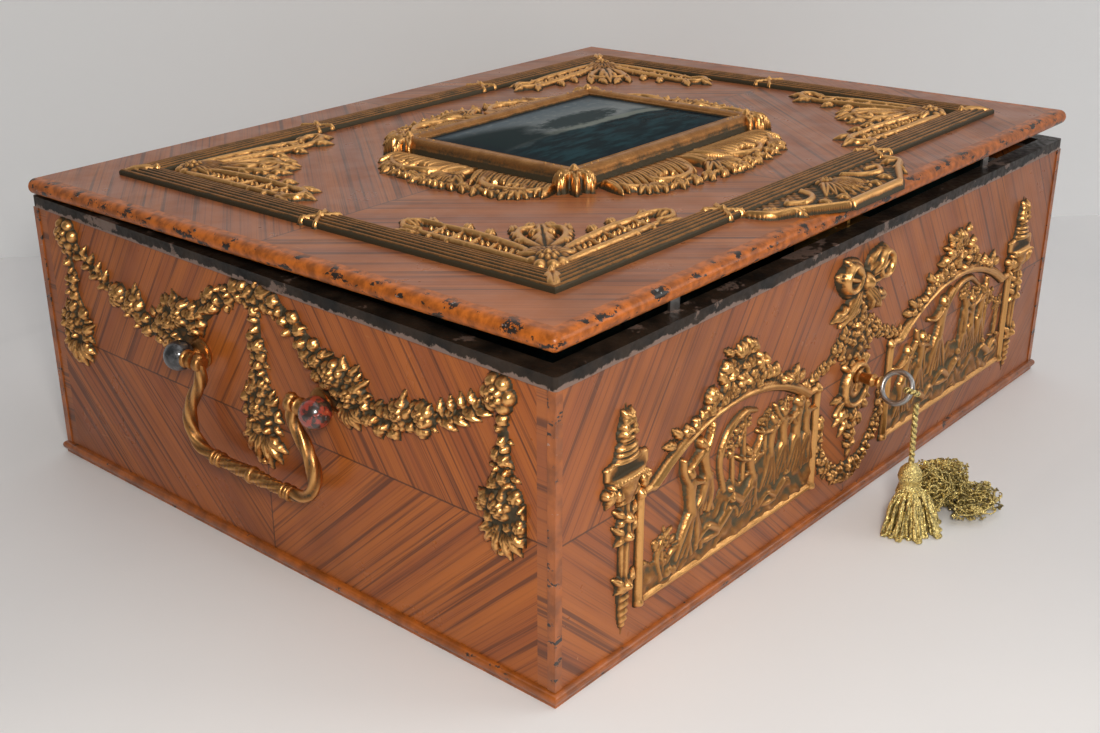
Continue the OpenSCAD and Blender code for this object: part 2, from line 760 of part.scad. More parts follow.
// Pierced corner mount: two legs along the moulding, a scroll and an eye between them
module corner_outline() {
    leg = 76;
    difference() {
        union() {
            for (k = [0 : 7]) {
                r = 10 - k * 1.05;
                translate([r + 0.5 + k * 9.4, r]) circle(r = r, $fn = 24);
                translate([r, r + 0.5 + k * 9.4]) circle(r = r, $fn = 24);
            }
            translate([24, 24]) circle(r = 17);
            translate([40, 12]) circle(r = 12);
            translate([12, 40]) circle(r = 12);
            translate([42, 34]) circle(r = 7);
            translate([34, 42]) circle(r = 7);
        }
        translate([25, 25]) circle(r = 7);
        translate([42, 16]) circle(r = 5);
        translate([16, 42]) circle(r = 5);
    }
}

module lid_corner_mounts() {
    color("goldenrod") on_lid() for (sx = [0, 1], sy = [0, 1])
        translate([0, lid_mid_y, lid_top]) mirror([sx, 0, 0]) mirror([0, sy, 0])
            translate([-mould_w / 2 + moulding_w + 0.6, -mould_d / 2 + moulding_w + 0.6, 0])
                linear_extrude(2.2) corner_outline();
}

module plaque_frame() {
    color("goldenrod") on_lid() translate([0, lid_mid_y, lid_top]) linear_extrude(plaque_rise) difference() {
        square([plaque_w, plaque_d], center = true);
        square([plaque_w - 2 * plaque_border, plaque_d - 2 * plaque_border], center = true);
    }
}

module plaque() {
    color("steelblue") on_lid() translate([0, lid_mid_y, lid_top]) linear_extrude(plaque_rise - 1.4)
        square([plaque_w - 2 * plaque_border - 0.2, plaque_d - 2 * plaque_border - 0.2], center = true);
}

// Scroll skirts on the four sides of the plaque frame
module skirt_outline(half, reach) {
    n = 8;
    for (k = [-n : n]) {
        u = k / n;
        far = reach * (1 - 0.62 * u * u);
        translate([u * half, 0]) translate([-half / n * 0.6, 0]) square([half / n * 1.2, far - 3]);
        translate([u * half * 0.96, far - 4]) circle(r = 4, $fn = 24);
    }
}

module plaque_scrolls() {
    color("goldenrod") on_lid() translate([0, lid_mid_y, lid_top]) linear_extrude(3.4) difference() {
        union() {
            for (turn = [0, 180]) rotate(turn) translate([0, plaque_d / 2]) skirt_outline(50, 31);
            for (turn = [90, 270]) rotate(turn) translate([0, plaque_w / 2]) skirt_outline(41, 25);
        }
        square([plaque_w, plaque_d], center = true);
    }
}

// Lift tab at the front: a pierced scroll plate whose lip hangs over the edge
module lid_tab() {
    tab_y0 = -lid_front - 3.5;
    tab_y1 = lid_mid_y - mould_d / 2 - 0.3;
    color("goldenrod") on_lid() translate([0, 0, lid_top]) linear_extrude(3) difference() {
        polygon([[-50, tab_y1], [50, tab_y1], [46, tab_y1 - 9], [22, tab_y0 + 4], [16, tab_y0],
            [-16, tab_y0], [-22, tab_y0 + 4], [-46, tab_y1 - 9]]);
        for (s = [-1, 1]) translate([s * 24, tab_y1 - 9]) circle(r = 5);
    }
}

// ---- movement --------------------------------------------------------------------------------

stop_x = bed_x1 - 6;
stop_z = axis_z + 19;
stop_stud_r = 2;

// Plate with the stop lever's stud
module bedplate() {
    color("darkgoldenrod") {
        box(bed_x0, bed_y0, floor_z, bed_x1, bed_y1, bed_z);
        translate([stop_x, fly_y, bed_z]) cylinder(r = 3.2, h = stop_z - bed_z - 0.1);
        translate([stop_x, fly_y, bed_z]) cylinder(r = stop_stud_r, h = stop_z - bed_z + 5);
    }
}

module bridge(x0, x1, y, bore, base) {
    difference() {
        union() {
            box(x0, y - base, bed_z, x1, y + base, axis_z);
            rod_x(x0, x1, y, axis_z, base);
        }
        rod_x(x0 - 1, x1 + 1, y, axis_z, bore);
    }
}

module bearing_bridges() {
    color("gold") {
        bridge(cyl_x0 - 16, cyl_x0 - 12, cyl_y, arbor_r + run_gap, 7);
        bridge(cyl_x1 + 12, cyl_x1 + 16, cyl_y, arbor_r + run_gap, 7);
        bridge(barrel_x0 - 8, barrel_x0 - 4, barrel_y, barrel_arbor_r + run_gap, 7);
        bridge(cyl_x0 - 3, cyl_x0 - 0.6, barrel_y, barrel_arbor_r + run_gap, 7);
    }
}

module pinned_cylinder() {
    pin_h = 1;
    color("gold") {
        rod_x(cyl_x0, cyl_x1, cyl_y, axis_z, drum_d / 2);
        rod_x(cyl_x0 - 17, cyl_x1 + 17, cyl_y, axis_z, arbor_r);
        gear_x(cyl_x0 - 10, cyl_x0 - 4, cyl_y, axis_z, pinion_teeth, module_big, 0, 0);
        gear_x(gov_x, gov_x + 3, cyl_y, axis_z, small_teeth, module_small, 0, 0);
        for (i = [0 : comb_teeth - 1])
            translate([cyl_x0 + 5 + (i + 0.5) * tooth_pitch, cyl_y, axis_z]) rotate([i * 137.5 + 40, 0, 0])
                translate([0, 0, drum_d / 2 - 1]) cylinder(r = 0.4, h = pin_h + 1, $fn = 16);
    }
}

module comb() {
    x0 = cyl_x0 + 5;
    x1 = x0 + comb_teeth * tooth_pitch;
    slot = tooth_pitch * 0.3;
    color("silver") difference() {
        union() {
            box(x0, comb_back, comb_z - 0.8, x1, comb_tip, comb_z + 0.8);
            box(x0, comb_back, bed_z, x1, comb_back + 11, comb_z - 0.8);
        }
        for (i = [1 : comb_teeth - 1])
            box(x0 + i * tooth_pitch - slot / 2, comb_back + 12, comb_z - 2,
                x0 + i * tooth_pitch + slot / 2, comb_tip + 1, comb_z + 2);
        for (p = comb_screw_places()) translate([p, comb_back + 5.5, comb_z - 6])
            cylinder(r = 1.5 + run_gap, h = 20);
    }
}

function comb_screw_places() = [for (k = [0.5 : 1 : 4.5]) cyl_x0 + 5 + k * (drum_len - 10) / 5];

module comb_screws() {
    color("steelblue") for (p = comb_screw_places()) translate([p, comb_back + 5.5, comb_z]) difference() {
        union() {
            translate([0, 0, -5.5]) cylinder(r = 1.5, h = 7);
            translate([0, 0, 0.8]) cylinder(r = 2.8, h = 1.8);
        }
        translate([-4, -0.3, 1.8]) cube([8, 0.6, 2]);
    }
}

// The great wheel and the cylinder's pinion stand tooth to gap
module spring_barrel() {
    color("gold") difference() {
        union() {
            rod_x(barrel_x0 + 2, cyl_x0 - 10, barrel_y, axis_z, 16.4);
            gear_x(cyl_x0 - 10, cyl_x0 - 4, barrel_y, axis_z, great_teeth, module_big, mesh_turn(great_teeth), 0);
        }
        rod_x(barrel_x0 - 5, cyl_x0, barrel_y, axis_z, barrel_arbor_r + run_gap);
    }
}

// Turn that puts a gap of the wheel opposite a tooth of its mate on the +Y or -Y side
function mesh_turn(teeth) = 180 / teeth;

module barrel_arbor() {
    color("silver") {
        rod_x(barrel_x0 - 24, cyl_x0 - 0.6, barrel_y, axis_z, barrel_arbor_r);
        translate([barrel_x0 - 12, barrel_y, axis_z]) rotate([0, 90, 0]) linear_extrude(3)
            polygon([for (i = [0 : 15], k = [0, 1])
                let (a = 360 / 16 * i + (k == 0 ? 1 : 4), r = k == 0 ? 8.6 : 6.8) [r * cos(a), r * sin(a)]]);
    }
}

// Click that holds the ratchet wheel, on its own stud in the barrel bridge
module ratchet_click() {
    color("silver") {
        box(barrel_x0 - 12, barrel_y - 4, axis_z + 9.2, barrel_x0 - 9, barrel_y + 6, axis_z + 12);
        box(barrel_x0 - 12, barrel_y + 9.6, bed_z, barrel_x0 - 9, barrel_y + 12.6, axis_z + 12);
        box(barrel_x0 - 12, barrel_y + 5, axis_z + 9.2, barrel_x0 - 9, barrel_y + 12.6, axis_z + 12);
    }
}

module winding_lever() {
    x0 = barrel_x0 - 19;
    color("silver") difference() {
        union() {
            rod_x(x0, x0 + 4, barrel_y, axis_z, 6.5);
            box(x0, barrel_y, axis_z - 2.5, x0 + 4, barrel_y + 36, axis_z + 2.5);
            translate([x0 + 2, barrel_y + 38, axis_z]) sphere(r = 5);
        }
        rod_x(x0 - 1, x0 + 5, barrel_y, axis_z, barrel_arbor_r + run_gap);
    }
}

module governor_frame() {
    color("gold") difference() {
        union() {
            box(gov_x + 4, fly_y - 18, bed_z, gov_x + 23, gov_y + 8, bed_z + 3);
            for (x = [gov_x + 4, gov_x + 20]) box(x, gov_y - 8, bed_z + 3, x + 3, gov_y + 8, axis_z + 6);
            box(worm_x - 3, fly_y - 18, bed_z + 3, worm_x + 3, fly_y - 13, axis_z + 34);
            box(worm_x - 3, fly_y - 18, axis_z + 31, worm_x + 3, fly_y + 3, axis_z + 34);
        }
        rod_x(gov_x, gov_x + 30, gov_y, axis_z, 1.2 + run_gap);
        translate([worm_x, fly_y, bed_z + 1]) cylinder(r = 1 + run_gap, h = 80);
    }
}

module governor_wheel() {
    color("gold") {
        rod_x(gov_x - 0.5, gov_x + 23, gov_y, axis_z, 1.2);
        gear_x(gov_x - 0.5, gov_x + 3.5, gov_y, axis_z, pinion_teeth, module_small, mesh_turn(pinion_teeth), 0);
        gear_x(worm_x - 1, worm_x + 1, gov_y, axis_z, worm_teeth, module_small, 0, 0);
    }
}

module fly() {
    color("silver") {
        translate([worm_x, fly_y, bed_z + 1.2]) cylinder(r = 1, h = axis_z + 34 - bed_z - 1.2);
        translate([worm_x, fly_y, axis_z - 8]) cylinder(r = worm_r, h = 16);
        translate([worm_x, fly_y, axis_z + 14]) cylinder(r = 2, h = 14);
        box(worm_x - fly_half, fly_y - 0.4, axis_z + 15, worm_x + fly_half, fly_y + 0.4, axis_z + 27);
    }
}

// Stop lever on a stud: its tip stands just outside the circle of the fly
module stop_lever() {
    lever_t = 3;
    color("silver") difference() {
        union() {
            translate([stop_x, fly_y, stop_z]) cylinder(r = 4.5, h = lever_t);
            box(worm_x + fly_half + 0.6, fly_y - 1.5, stop_z, stop_x, fly_y + 1.5, stop_z + lever_t);
            box(stop_x, fly_y - 2.5, stop_z, stop_x + 22, fly_y + 2.5, stop_z + lever_t);
        }
        translate([stop_x, fly_y, bed_z]) cylinder(r = stop_stud_r + run_gap, h = stop_z);
    }
}

front_wall();
back_wall();
left_wall();
right_wall();
base_board();
base_moulding();
top_rim();
corner_edgings();
lid_guides();
case_hinge_leaves();
hinge_pins();
hinge_screws();
compartment_wall();
well_lining();
well_cushion();
front_panel_left();
front_panel_right();
front_relief_left();
front_relief_right();
torch_mounts();
ribbon_bow();
laurel_swag();
escutcheon();
end_garland_left();
end_garland_right();
handle_posts();
bail_left();
bail_right();
lock_case();
lock_bolt();
lock_strike();
key();
cord_loop();
key_cord();
tassel();
lid_panel();
lid_lining();
lid_moulding();
lid_ties();
lid_corner_mounts();
plaque_frame();
plaque_scrolls();
plaque();
lid_tab();
lid_hinge_leaves();
bedplate();
bearing_bridges();
pinned_cylinder();
comb();
comb_screws();
spring_barrel();
barrel_arbor();
ratchet_click();
winding_lever();
governor_frame();
governor_wheel();
fly();
stop_lever();
cover_frame();
cover_glass();
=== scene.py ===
"""Looks for a veneered casket with gilt bronze mounts and a cylinder music movement.

Every mount is a carving: a height in millimetres over a flat grid, raised by leaves, petals, beads and
strokes, laid on the wall or the lid that it belongs to. Round pieces are profiles carried along paths.
"""
import json
import math

import bpy
import numpy as np
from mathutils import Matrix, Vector


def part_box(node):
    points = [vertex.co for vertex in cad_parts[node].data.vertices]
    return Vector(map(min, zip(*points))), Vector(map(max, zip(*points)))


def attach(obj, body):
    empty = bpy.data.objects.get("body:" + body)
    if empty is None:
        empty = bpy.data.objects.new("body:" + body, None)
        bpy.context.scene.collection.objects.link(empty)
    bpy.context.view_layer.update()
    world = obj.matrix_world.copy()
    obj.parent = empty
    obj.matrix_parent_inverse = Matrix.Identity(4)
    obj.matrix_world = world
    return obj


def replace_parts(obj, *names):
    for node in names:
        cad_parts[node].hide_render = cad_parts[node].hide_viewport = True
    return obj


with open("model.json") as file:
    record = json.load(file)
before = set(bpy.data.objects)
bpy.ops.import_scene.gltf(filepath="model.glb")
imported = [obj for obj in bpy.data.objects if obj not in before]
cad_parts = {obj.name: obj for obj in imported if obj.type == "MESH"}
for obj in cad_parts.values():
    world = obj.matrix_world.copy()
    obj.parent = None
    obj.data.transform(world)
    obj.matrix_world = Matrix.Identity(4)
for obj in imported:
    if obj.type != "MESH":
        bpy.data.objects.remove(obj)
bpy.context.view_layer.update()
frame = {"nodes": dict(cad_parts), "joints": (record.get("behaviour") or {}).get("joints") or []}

bl_info = {
    "name": "Gilt casket",
    "version": (1, 0, 0),
    "blender": (4, 5, 0),
    "location": "View3D > Sidebar > Casket",
    "description": "Builds a veneered casket with gilt mounts around its fixed frame",
    "category": "Add Mesh",
}

MM = 0.001
TAU = 2 * math.pi

# ---- places, in millimetres ---------------------------------------------------------------------


def corners(node):
    """Lowest and highest corner of a frame node, in millimetres."""
    low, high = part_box(node)
    return np.array(low) / MM, np.array(high) / MM


def joint_place(name):
    """A joint's point, in millimetres."""
    return np.array(next(j["pos_m"] for j in frame["joints"] if j["name"] == name)) / MM


LID_AJAR = -math.radians(next(j["range_deg"][0] for j in frame["joints"] if j["name"] == "lid_hinge"))
HINGE = joint_place("lid_hinge")
KEY_AXIS = joint_place("key_turn")
HALF_W = corners("front_wall")[1][0]
HALF_D = -corners("front_wall")[0][1]
WALL_TOP = corners("front_wall")[1][2]
RIM_TOP = corners("top_rim")[1][2]
MID_Z = RIM_TOP / 2
FOOT_H = corners("base_moulding")[1][2]
HANDLE = joint_place("left_handle_swing")


def lid_turn(points, angle):
    """Points turned about the hinge line by an angle, front edge upwards."""
    offset = points - HINGE
    c, s = math.cos(angle), math.sin(angle)
    y = offset[..., 1] * c + offset[..., 2] * s
    z = -offset[..., 1] * s + offset[..., 2] * c
    return np.stack([offset[..., 0], y, z], axis=-1) + HINGE


def closed_corners(node):
    """Box of a lid node with the lid shut, in millimetres."""
    count = len(frame["nodes"][node].data.vertices)
    points = np.empty(count * 3)
    frame["nodes"][node].data.vertices.foreach_get("co", points)
    shut = lid_turn(points.reshape(-1, 3) / MM, -LID_AJAR)
    return shut.min(0), shut.max(0)


LID_LOW, LID_HIGH = closed_corners("lid_panel")
LID_TOP = LID_HIGH[2]
MOULD_LOW, MOULD_HIGH = closed_corners("lid_moulding")
MOULD_MID = (MOULD_LOW + MOULD_HIGH) / 2
FRAME_LOW, FRAME_HIGH = closed_corners("plaque_frame")


def on_front(u, v, h):
    """Front wall: u to the right, v up, h out of the wall."""
    return np.stack([u, -HALF_D - h, v], axis=-1)


def on_left(u, v, h):
    """Left end: u towards the front, v up, h out of the wall."""
    return np.stack([-HALF_W - h, -u, v], axis=-1)


def on_right(u, v, h):
    """Right end: u towards the back, v up, h out of the wall."""
    return np.stack([HALF_W + h, u, v], axis=-1)


def on_lid(u, v, h):
    """Lid: u and v from the middle of its moulding, h above its top."""
    points = np.stack([u, v + MOULD_MID[1], LID_TOP + h], axis=-1)
    return lid_turn(points, LID_AJAR)


# ---- sizes and colours that a user would change -------------------------------------------------


def colour_prop(name, description, default):
    return bpy.props.FloatVectorProperty(
        name=name, description=description, subtype="COLOR", size=3, min=0.0, max=1.0, default=default)


def length_prop(name, description, default, low, high):
    return bpy.props.FloatProperty(
        name=name, description=description, default=default, min=low, max=high, unit="LENGTH")


class CasketWood(bpy.types.PropertyGroup):
    """Veneer, lacquer and lining."""

    light: colour_prop("Light stripe", "Pale stripe of the veneer", (0.46, 0.132, 0.020))
    dark: colour_prop("Dark stripe", "Dark stripe of the veneer", (0.085, 0.024, 0.010))
    red: colour_prop("Red stripe", "Reddish stripe of the veneer", (0.27, 0.068, 0.018))
    lacquer: colour_prop("Edge lacquer", "Lacquer on the edges", (0.52, 0.135, 0.016))
    lining: colour_prop("Lining", "Silk velvet inside", (0.012, 0.06, 0.065))
    fill: bpy.props.FloatProperty(
        name="Cushion fill", description="How tight the cushion is", default=0.7, min=0.0, max=1.0)


class CasketMetal(bpy.types.PropertyGroup):
    """Bronze, gold thread and the grain of the carving."""

    gilt: colour_prop("Gilt", "Bright gilding on the high parts", (0.80, 0.42, 0.145))
    copper: colour_prop("Rubbed copper", "Coppery tone between gilt and patina", (0.36, 0.16, 0.050))
    patina: colour_prop("Patina", "Olive brown patina in the hollows", (0.060, 0.046, 0.024))
    thread: colour_prop("Thread", "Metallic gold thread", (0.88, 0.70, 0.27))
    grain: length_prop("Carving grain", "Distance between the points of a carving", 0.00045, 0.0003, 0.001)
    strand: length_prop("Bullion strand", "Thickness of a strand of the tassel", 0.0013, 0.0008, 0.002)


# ---- finishes -----------------------------------------------------------------------------------


class Finish:
    """A material's node tree. Each call adds one node and returns its output."""

    def __init__(self, name, **constants):
        self.material = bpy.data.materials.new(name)
        self.material.use_nodes = True
        self.nodes = self.material.node_tree.nodes
        self.links = self.material.node_tree.links
        self.shader = next(n for n in self.nodes if n.type == "BSDF_PRINCIPLED")
        self.set(**constants)

    def set(self, **values):
        """Gives the shader's sockets a number, a colour or another node's output."""
        for name, value in values.items():
            self.feed(self.shader.inputs[name.replace("_", " ")], value)
        return self

    def feed(self, socket, value):
        if isinstance(value, bpy.types.NodeSocket):
            self.links.new(value, socket)
        elif value is not None:
            wide = hasattr(socket.default_value, "__len__") and len(socket.default_value) == 4
            value = (value,) * 3 if wide and not hasattr(value, "__len__") else value
            socket.default_value = (*value, 1.0) if wide and len(value) == 3 else value

    def node(self, kind, values=(), output=0, **settings):
        made = self.nodes.new("ShaderNode" + kind)
        for name, value in settings.items():
            setattr(made, name, value)
        for socket, value in dict(values).items():
            self.feed(made.inputs[socket], value)
        return made.outputs[output]

    def place(self):
        return self.node("TexCoord", output="Object")

    def axes(self, vector):
        split = self.nodes.new("ShaderNodeSeparateXYZ")
        self.links.new(vector, split.inputs[0])
        return split.outputs[0], split.outputs[1], split.outputs[2]

    def vector(self, x, y, z):
        return self.node("CombineXYZ", {0: x, 1: y, 2: z})

    def math(self, operation, a, b=None, c=None, clamp=False):
        return self.node("Math", {0: a, 1: b, 2: c}, operation=operation, use_clamp=clamp)

    def mapped(self, vector, scale=(1, 1, 1), turn=(0, 0, 0), shift=(0, 0, 0)):
        return self.node("Mapping", {"Vector": vector, "Scale": scale, "Rotation": turn, "Location": shift})

    def noise(self, vector, scale, detail=3.0, rough=0.55, bend=0.0):
        return self.node("TexNoise", {"Vector": vector, "Scale": scale, "Detail": detail,
                                      "Roughness": rough, "Distortion": bend})

    def cells(self, vector, scale, feature="F1"):
        return self.node("TexVoronoi", {"Vector": vector, "Scale": scale}, feature=feature)

    def span(self, value, low, high, out_low=0.0, out_high=1.0):
        """value from low..high to out_low..out_high, eased at both ends."""
        return self.node("MapRange", {0: value, 1: low, 2: high, 3: out_low, 4: out_high},
                         interpolation_type="SMOOTHSTEP")

    def mix(self, factor, a, b, blend="MIX"):
        made = self.nodes.new("ShaderNodeMix")
        made.data_type = "RGBA"
        made.blend_type = blend
        self.feed(made.inputs[0], factor)
        self.feed(made.inputs[6], a)
        self.feed(made.inputs[7], b)
        return made.outputs[2]

    def attribute(self, name):
        return self.node("Attribute", output="Fac", attribute_name=name)

    def bump(self, height, distance, strength=1.0, normal=None):
        values = {"Height": height, "Distance": distance, "Strength": strength}
        if normal is not None:
            values["Normal"] = normal
        return self.node("Bump", values)


def veneer_stripes(f, u, v, steep, shallow):
    """Tone of quarter-matched striped veneer, and its bump.

    Stripes run as diamonds about the middle: across = |u| sin a + |v| cos a, along = |u| cos a - |v| sin a,
    with angle a steep above the middle and shallow below. Each quarter reads its own stretch of the noise.
    """
    above = f.math("GREATER_THAN", v, 0.0)
    right = f.math("GREATER_THAN", u, 0.0)
    wide = f.math("ABSOLUTE", u)
    high = f.math("ABSOLUTE", v)
    s = f.math("MULTIPLY_ADD", above, math.sin(steep) - math.sin(shallow), math.sin(shallow))
    c = f.math("MULTIPLY_ADD", above, math.cos(steep) - math.cos(shallow), math.cos(shallow))
    across = f.math("ADD", f.math("MULTIPLY", wide, s), f.math("MULTIPLY", high, c))
    along = f.math("SUBTRACT", f.math("MULTIPLY", wide, c), f.math("MULTIPLY", high, s))
    quarter = f.math("ADD", f.math("MULTIPLY", above, 3.7), f.math("MULTIPLY", right, 1.9))
    field = f.vector(f.math("ADD", across, quarter), f.math("MULTIPLY", along, 0.010), quarter)
    broad = f.noise(field, 80.0, 2.0, 0.5)
    lines = f.noise(field, 430.0, 3.0, 0.66)
    fine = f.noise(f.vector(f.math("ADD", across, quarter), f.math("MULTIPLY", along, 0.006), quarter),
                   1500.0, 2.0, 0.6)
    seam = f.math("MINIMUM", wide, high)
    return broad, lines, fine, seam, quarter


def veneer(name, u_of, v_of, middle, wood, steep, shallow, grey=0.0, edge=None):
    """Striped veneer under old varnish: u_of and v_of pick the axes, middle is v's zero in metres."""
    f = Finish(name, Coat_Weight=0.16, Coat_Roughness=0.12, Coat_IOR=1.45, Specular_IOR_Level=0.25)
    place = f.place()
    axes = f.axes(place)
    u = axes[u_of]
    v = f.math("SUBTRACT", axes[v_of], middle)
    broad, lines, fine, seam, quarter = veneer_stripes(f, u, v, steep, shallow)
    light = tuple(wood.light)
    dark = tuple(wood.dark)
    red = tuple(wood.red)
    reds = f.span(f.noise(f.vector(quarter, 0.0, 0.0), 0.9, 0.0), 0.35, 0.65, 0.1, 0.75)
    tone = f.mix(f.span(broad, 0.38, 0.66, 0.0, 0.75), light, red)
    tone = f.mix(f.math("MULTIPLY", reds, 0.55), tone, red)
    tone = f.mix(f.span(lines, 0.50, 0.64, 0.0, 0.80), tone, dark)
    tone = f.mix(f.span(fine, 0.48, 0.72, 0.0, 0.5), tone, dark)
    tone = f.mix(f.span(seam, 0.00012, 0.0005, 0.75, 0.0), tone, (0.03, 0.012, 0.006))
    cloud = f.noise(place, 14.0, 3.0)
    tone = f.mix(f.span(cloud, 0.5, 0.8, 0.0, 0.35), tone, tuple(0.45 * x for x in dark))
    if grey:
        tone = f.mix(grey, tone, (0.22, 0.15, 0.12))
    scratches = f.noise(f.mapped(place, (900, 60, 300), (0.4, 0.3, 0.9)), 1.0, 1.0)
    tone = f.mix(f.span(scratches, 0.78, 0.86, 0.0, 0.35), tone, (0.75, 0.45, 0.2))
    rough = f.span(f.noise(place, 55.0, 4.0), 0.3, 0.75, 0.27, 0.45)
    grain = f.math("ADD", f.math("MULTIPLY", lines, 0.6), f.math("MULTIPLY", fine, 0.4))
    normal = f.bump(grain, 0.00006)
    normal = f.bump(f.noise(place, 28.0, 2.0), 0.0006, 0.5, normal)
    f.set(Base_Color=tone, Roughness=rough, Normal=normal)
    if edge:
        lacquer_edge(f, axes, place, tone, rough, edge, tuple(wood.lacquer))
    return f.material


def lacquer_edge(f, axes, place, tone, rough, edge, lacquer):
    """Orange lacquer within a band of the outer edge, chipped to black and to bare metal at its arris."""
    x_edge, y_edge, band = edge
    in_x = f.math("SUBTRACT", x_edge, f.math("ABSOLUTE", axes[0]))
    in_y = f.math("ADD", axes[1], y_edge)
    inset = f.math("MINIMUM", in_x, in_y)
    wobble = f.math("MULTIPLY_ADD", f.noise(place, 180.0, 2.0), 0.0016, -0.0008)
    inset = f.math("ADD", inset, wobble)
    banded = f.span(inset, band - 0.0003, band + 0.0006, 1.0, 0.0)
    orange = f.mix(f.span(f.noise(place, 300.0, 3.0), 0.3, 0.7), lacquer, tuple(0.45 * x for x in lacquer))
    chips = chip_mask(f, place, 0.62, 620.0)
    near = f.span(inset, band * 0.35, band * 1.15, 1.0, 0.25)
    chips = f.math("MULTIPLY", chips, near, clamp=True)
    painted = f.mix(chips, orange, (0.018, 0.013, 0.010))
    bare = f.math("MULTIPLY", chip_mask(f, place, 0.68, 810.0), chips)
    painted = f.mix(bare, painted, (0.42, 0.40, 0.38))
    f.set(Base_Color=f.mix(banded, tone, painted),
          Metallic=f.math("MULTIPLY", banded, bare),
          Roughness=f.mix(banded, rough, 0.38))


def chip_mask(f, place, level, scale=330.0):
    """Ragged islands: two noises of different grain multiplied and cut at a level."""
    coarse = f.noise(f.mapped(place, (0.45, 0.45, 1.0)), scale * 0.55, 2.0, 0.6)
    ragged = f.noise(place, scale * 2.2, 3.0, 0.65)
    both = f.math("MULTIPLY_ADD", ragged, 0.3, f.math("MULTIPLY", coarse, 0.8))
    return f.span(both, level, level + 0.035)


def lacquer(name, wood, wear=0.6):
    f = Finish(name, Coat_Weight=0.35, Coat_Roughness=0.2)
    place = f.place()
    colour = tuple(wood.lacquer)
    tone = f.mix(f.span(f.noise(place, 160.0, 3.0), 0.3, 0.7), tuple(0.75 * x for x in colour),
                 tuple(0.38 * x for x in colour))
    chips = chip_mask(f, place, wear + 0.08, 520.0)
    bare = chip_mask(f, place, wear + 0.17, 820.0)
    tone = f.mix(chips, tone, (0.02, 0.015, 0.012))
    tone = f.mix(bare, tone, (0.40, 0.37, 0.33))
    f.set(Base_Color=tone, Metallic=bare, Roughness=f.span(f.noise(place, 220.0), 0.3, 0.7, 0.3, 0.5),
          Normal=f.bump(chips, -0.00012))
    return f.material


def rim_metal(name):
    """Dark patinated rim: brushed bare along its lower edge and in worn patches."""
    f = Finish(name, Specular_IOR_Level=0.25)
    place = f.place()
    z = f.axes(place)[2]
    low = f.math("SUBTRACT", z, WALL_TOP * MM)
    ragged = f.math("MULTIPLY_ADD", f.noise(place, 200.0, 4.0, 0.7), 0.0060, -0.0036)
    line = f.span(f.math("ADD", low, ragged), 0.0001, 0.0007, 1.0, 0.0)
    patches = chip_mask(f, place, 0.64, 150.0)
    bare = f.math("MAXIMUM", line, f.math("MULTIPLY", patches, 0.7))
    tone = f.mix(f.span(f.noise(place, 90.0, 4.0), 0.3, 0.7), (0.006, 0.005, 0.004), (0.030, 0.019, 0.012))
    tone = f.mix(bare, tone, (0.30, 0.21, 0.17))
    f.set(Base_Color=tone, Metallic=f.span(bare, 0.0, 1.0, 0.0, 0.7),
          Roughness=f.span(f.noise(place, 400.0, 3.0), 0.3, 0.7, 0.3, 0.55),
          Normal=f.bump(f.noise(place, 500.0, 3.0), 0.00008))
    return f.material


def bronze(name, metal, gilding=1.0, tarnish=0.0, hollow=1.0):
    """Gilt bronze: gold on the high parts, coppery between, olive brown in the hollows."""
    f = Finish(name)
    place = f.place()
    high = f.attribute("relief")
    patina = tuple(hollow * x for x in metal.patina)
    stain = f.noise(place, 130.0, 4.0, 0.6)
    speck = f.noise(place, 1100.0, 3.0, 0.6)
    level = f.math("ADD", high, f.math("MULTIPLY_ADD", stain, 0.55, -0.28 - tarnish))
    level = f.math("ADD", level, f.math("MULTIPLY_ADD", speck, 0.3, -0.15))
    tone = f.mix(f.span(level, 0.20, 0.48), patina, tuple(metal.copper))
    tone = f.mix(f.span(level, 0.42, 0.82, 0.0, gilding), tone, tuple(metal.gilt))
    rough = f.span(level, 0.2, 0.85, 0.58, 0.30)
    rough = f.math("ADD", rough, f.math("MULTIPLY_ADD", speck, 0.12, -0.06))
    grain = f.bump(speck, 0.00010, 0.8)
    grain = f.bump(f.noise(place, 420.0, 3.0), 0.00022, 0.6, grain)
    f.set(Base_Color=tone, Metallic=f.span(level, 0.15, 0.5, 0.55, 1.0), Roughness=rough, Normal=grain)
    return f.material


def plain_metal(name, colour, rough, brushed=(1, 1, 1), tint=None, stain=0.25):
    """Machined metal: fine brushing along one axis and soft stains."""
    f = Finish(name, Metallic=1.0)
    place = f.place()
    lines = f.noise(f.mapped(place, brushed), 1400.0, 2.0, 0.6)
    cloud = f.noise(place, 90.0, 4.0)
    tone = f.mix(f.span(cloud, 0.35, 0.75, 0.0, stain), colour, tint or tuple(0.45 * x for x in colour))
    tone = f.mix(f.span(lines, 0.5, 0.8, 0.0, 0.2), tone, tuple(min(1, 1.25 * x) for x in colour))
    f.set(Base_Color=tone, Roughness=f.span(lines, 0.2, 0.8, rough, rough + 0.16),
          Normal=f.bump(lines, 0.00003))
    return f.material


def softwood(name):
    f = Finish(name, Coat_Weight=0.2, Coat_Roughness=0.3)
    place = f.place()
    grain = f.noise(f.mapped(place, (0.06, 1, 1)), 260.0, 4.0, 0.6, 0.4)
    fine = f.noise(f.mapped(place, (0.02, 1, 1)), 1500.0, 2.0)
    tone = f.mix(f.span(grain, 0.35, 0.68), (0.30, 0.15, 0.06), (0.15, 0.065, 0.025))
    tone = f.mix(f.span(fine, 0.55, 0.8, 0.0, 0.5), tone, (0.09, 0.04, 0.016))
    f.set(Base_Color=tone, Roughness=f.span(grain, 0.3, 0.7, 0.4, 0.6), Normal=f.bump(fine, 0.00006))
    return f.material


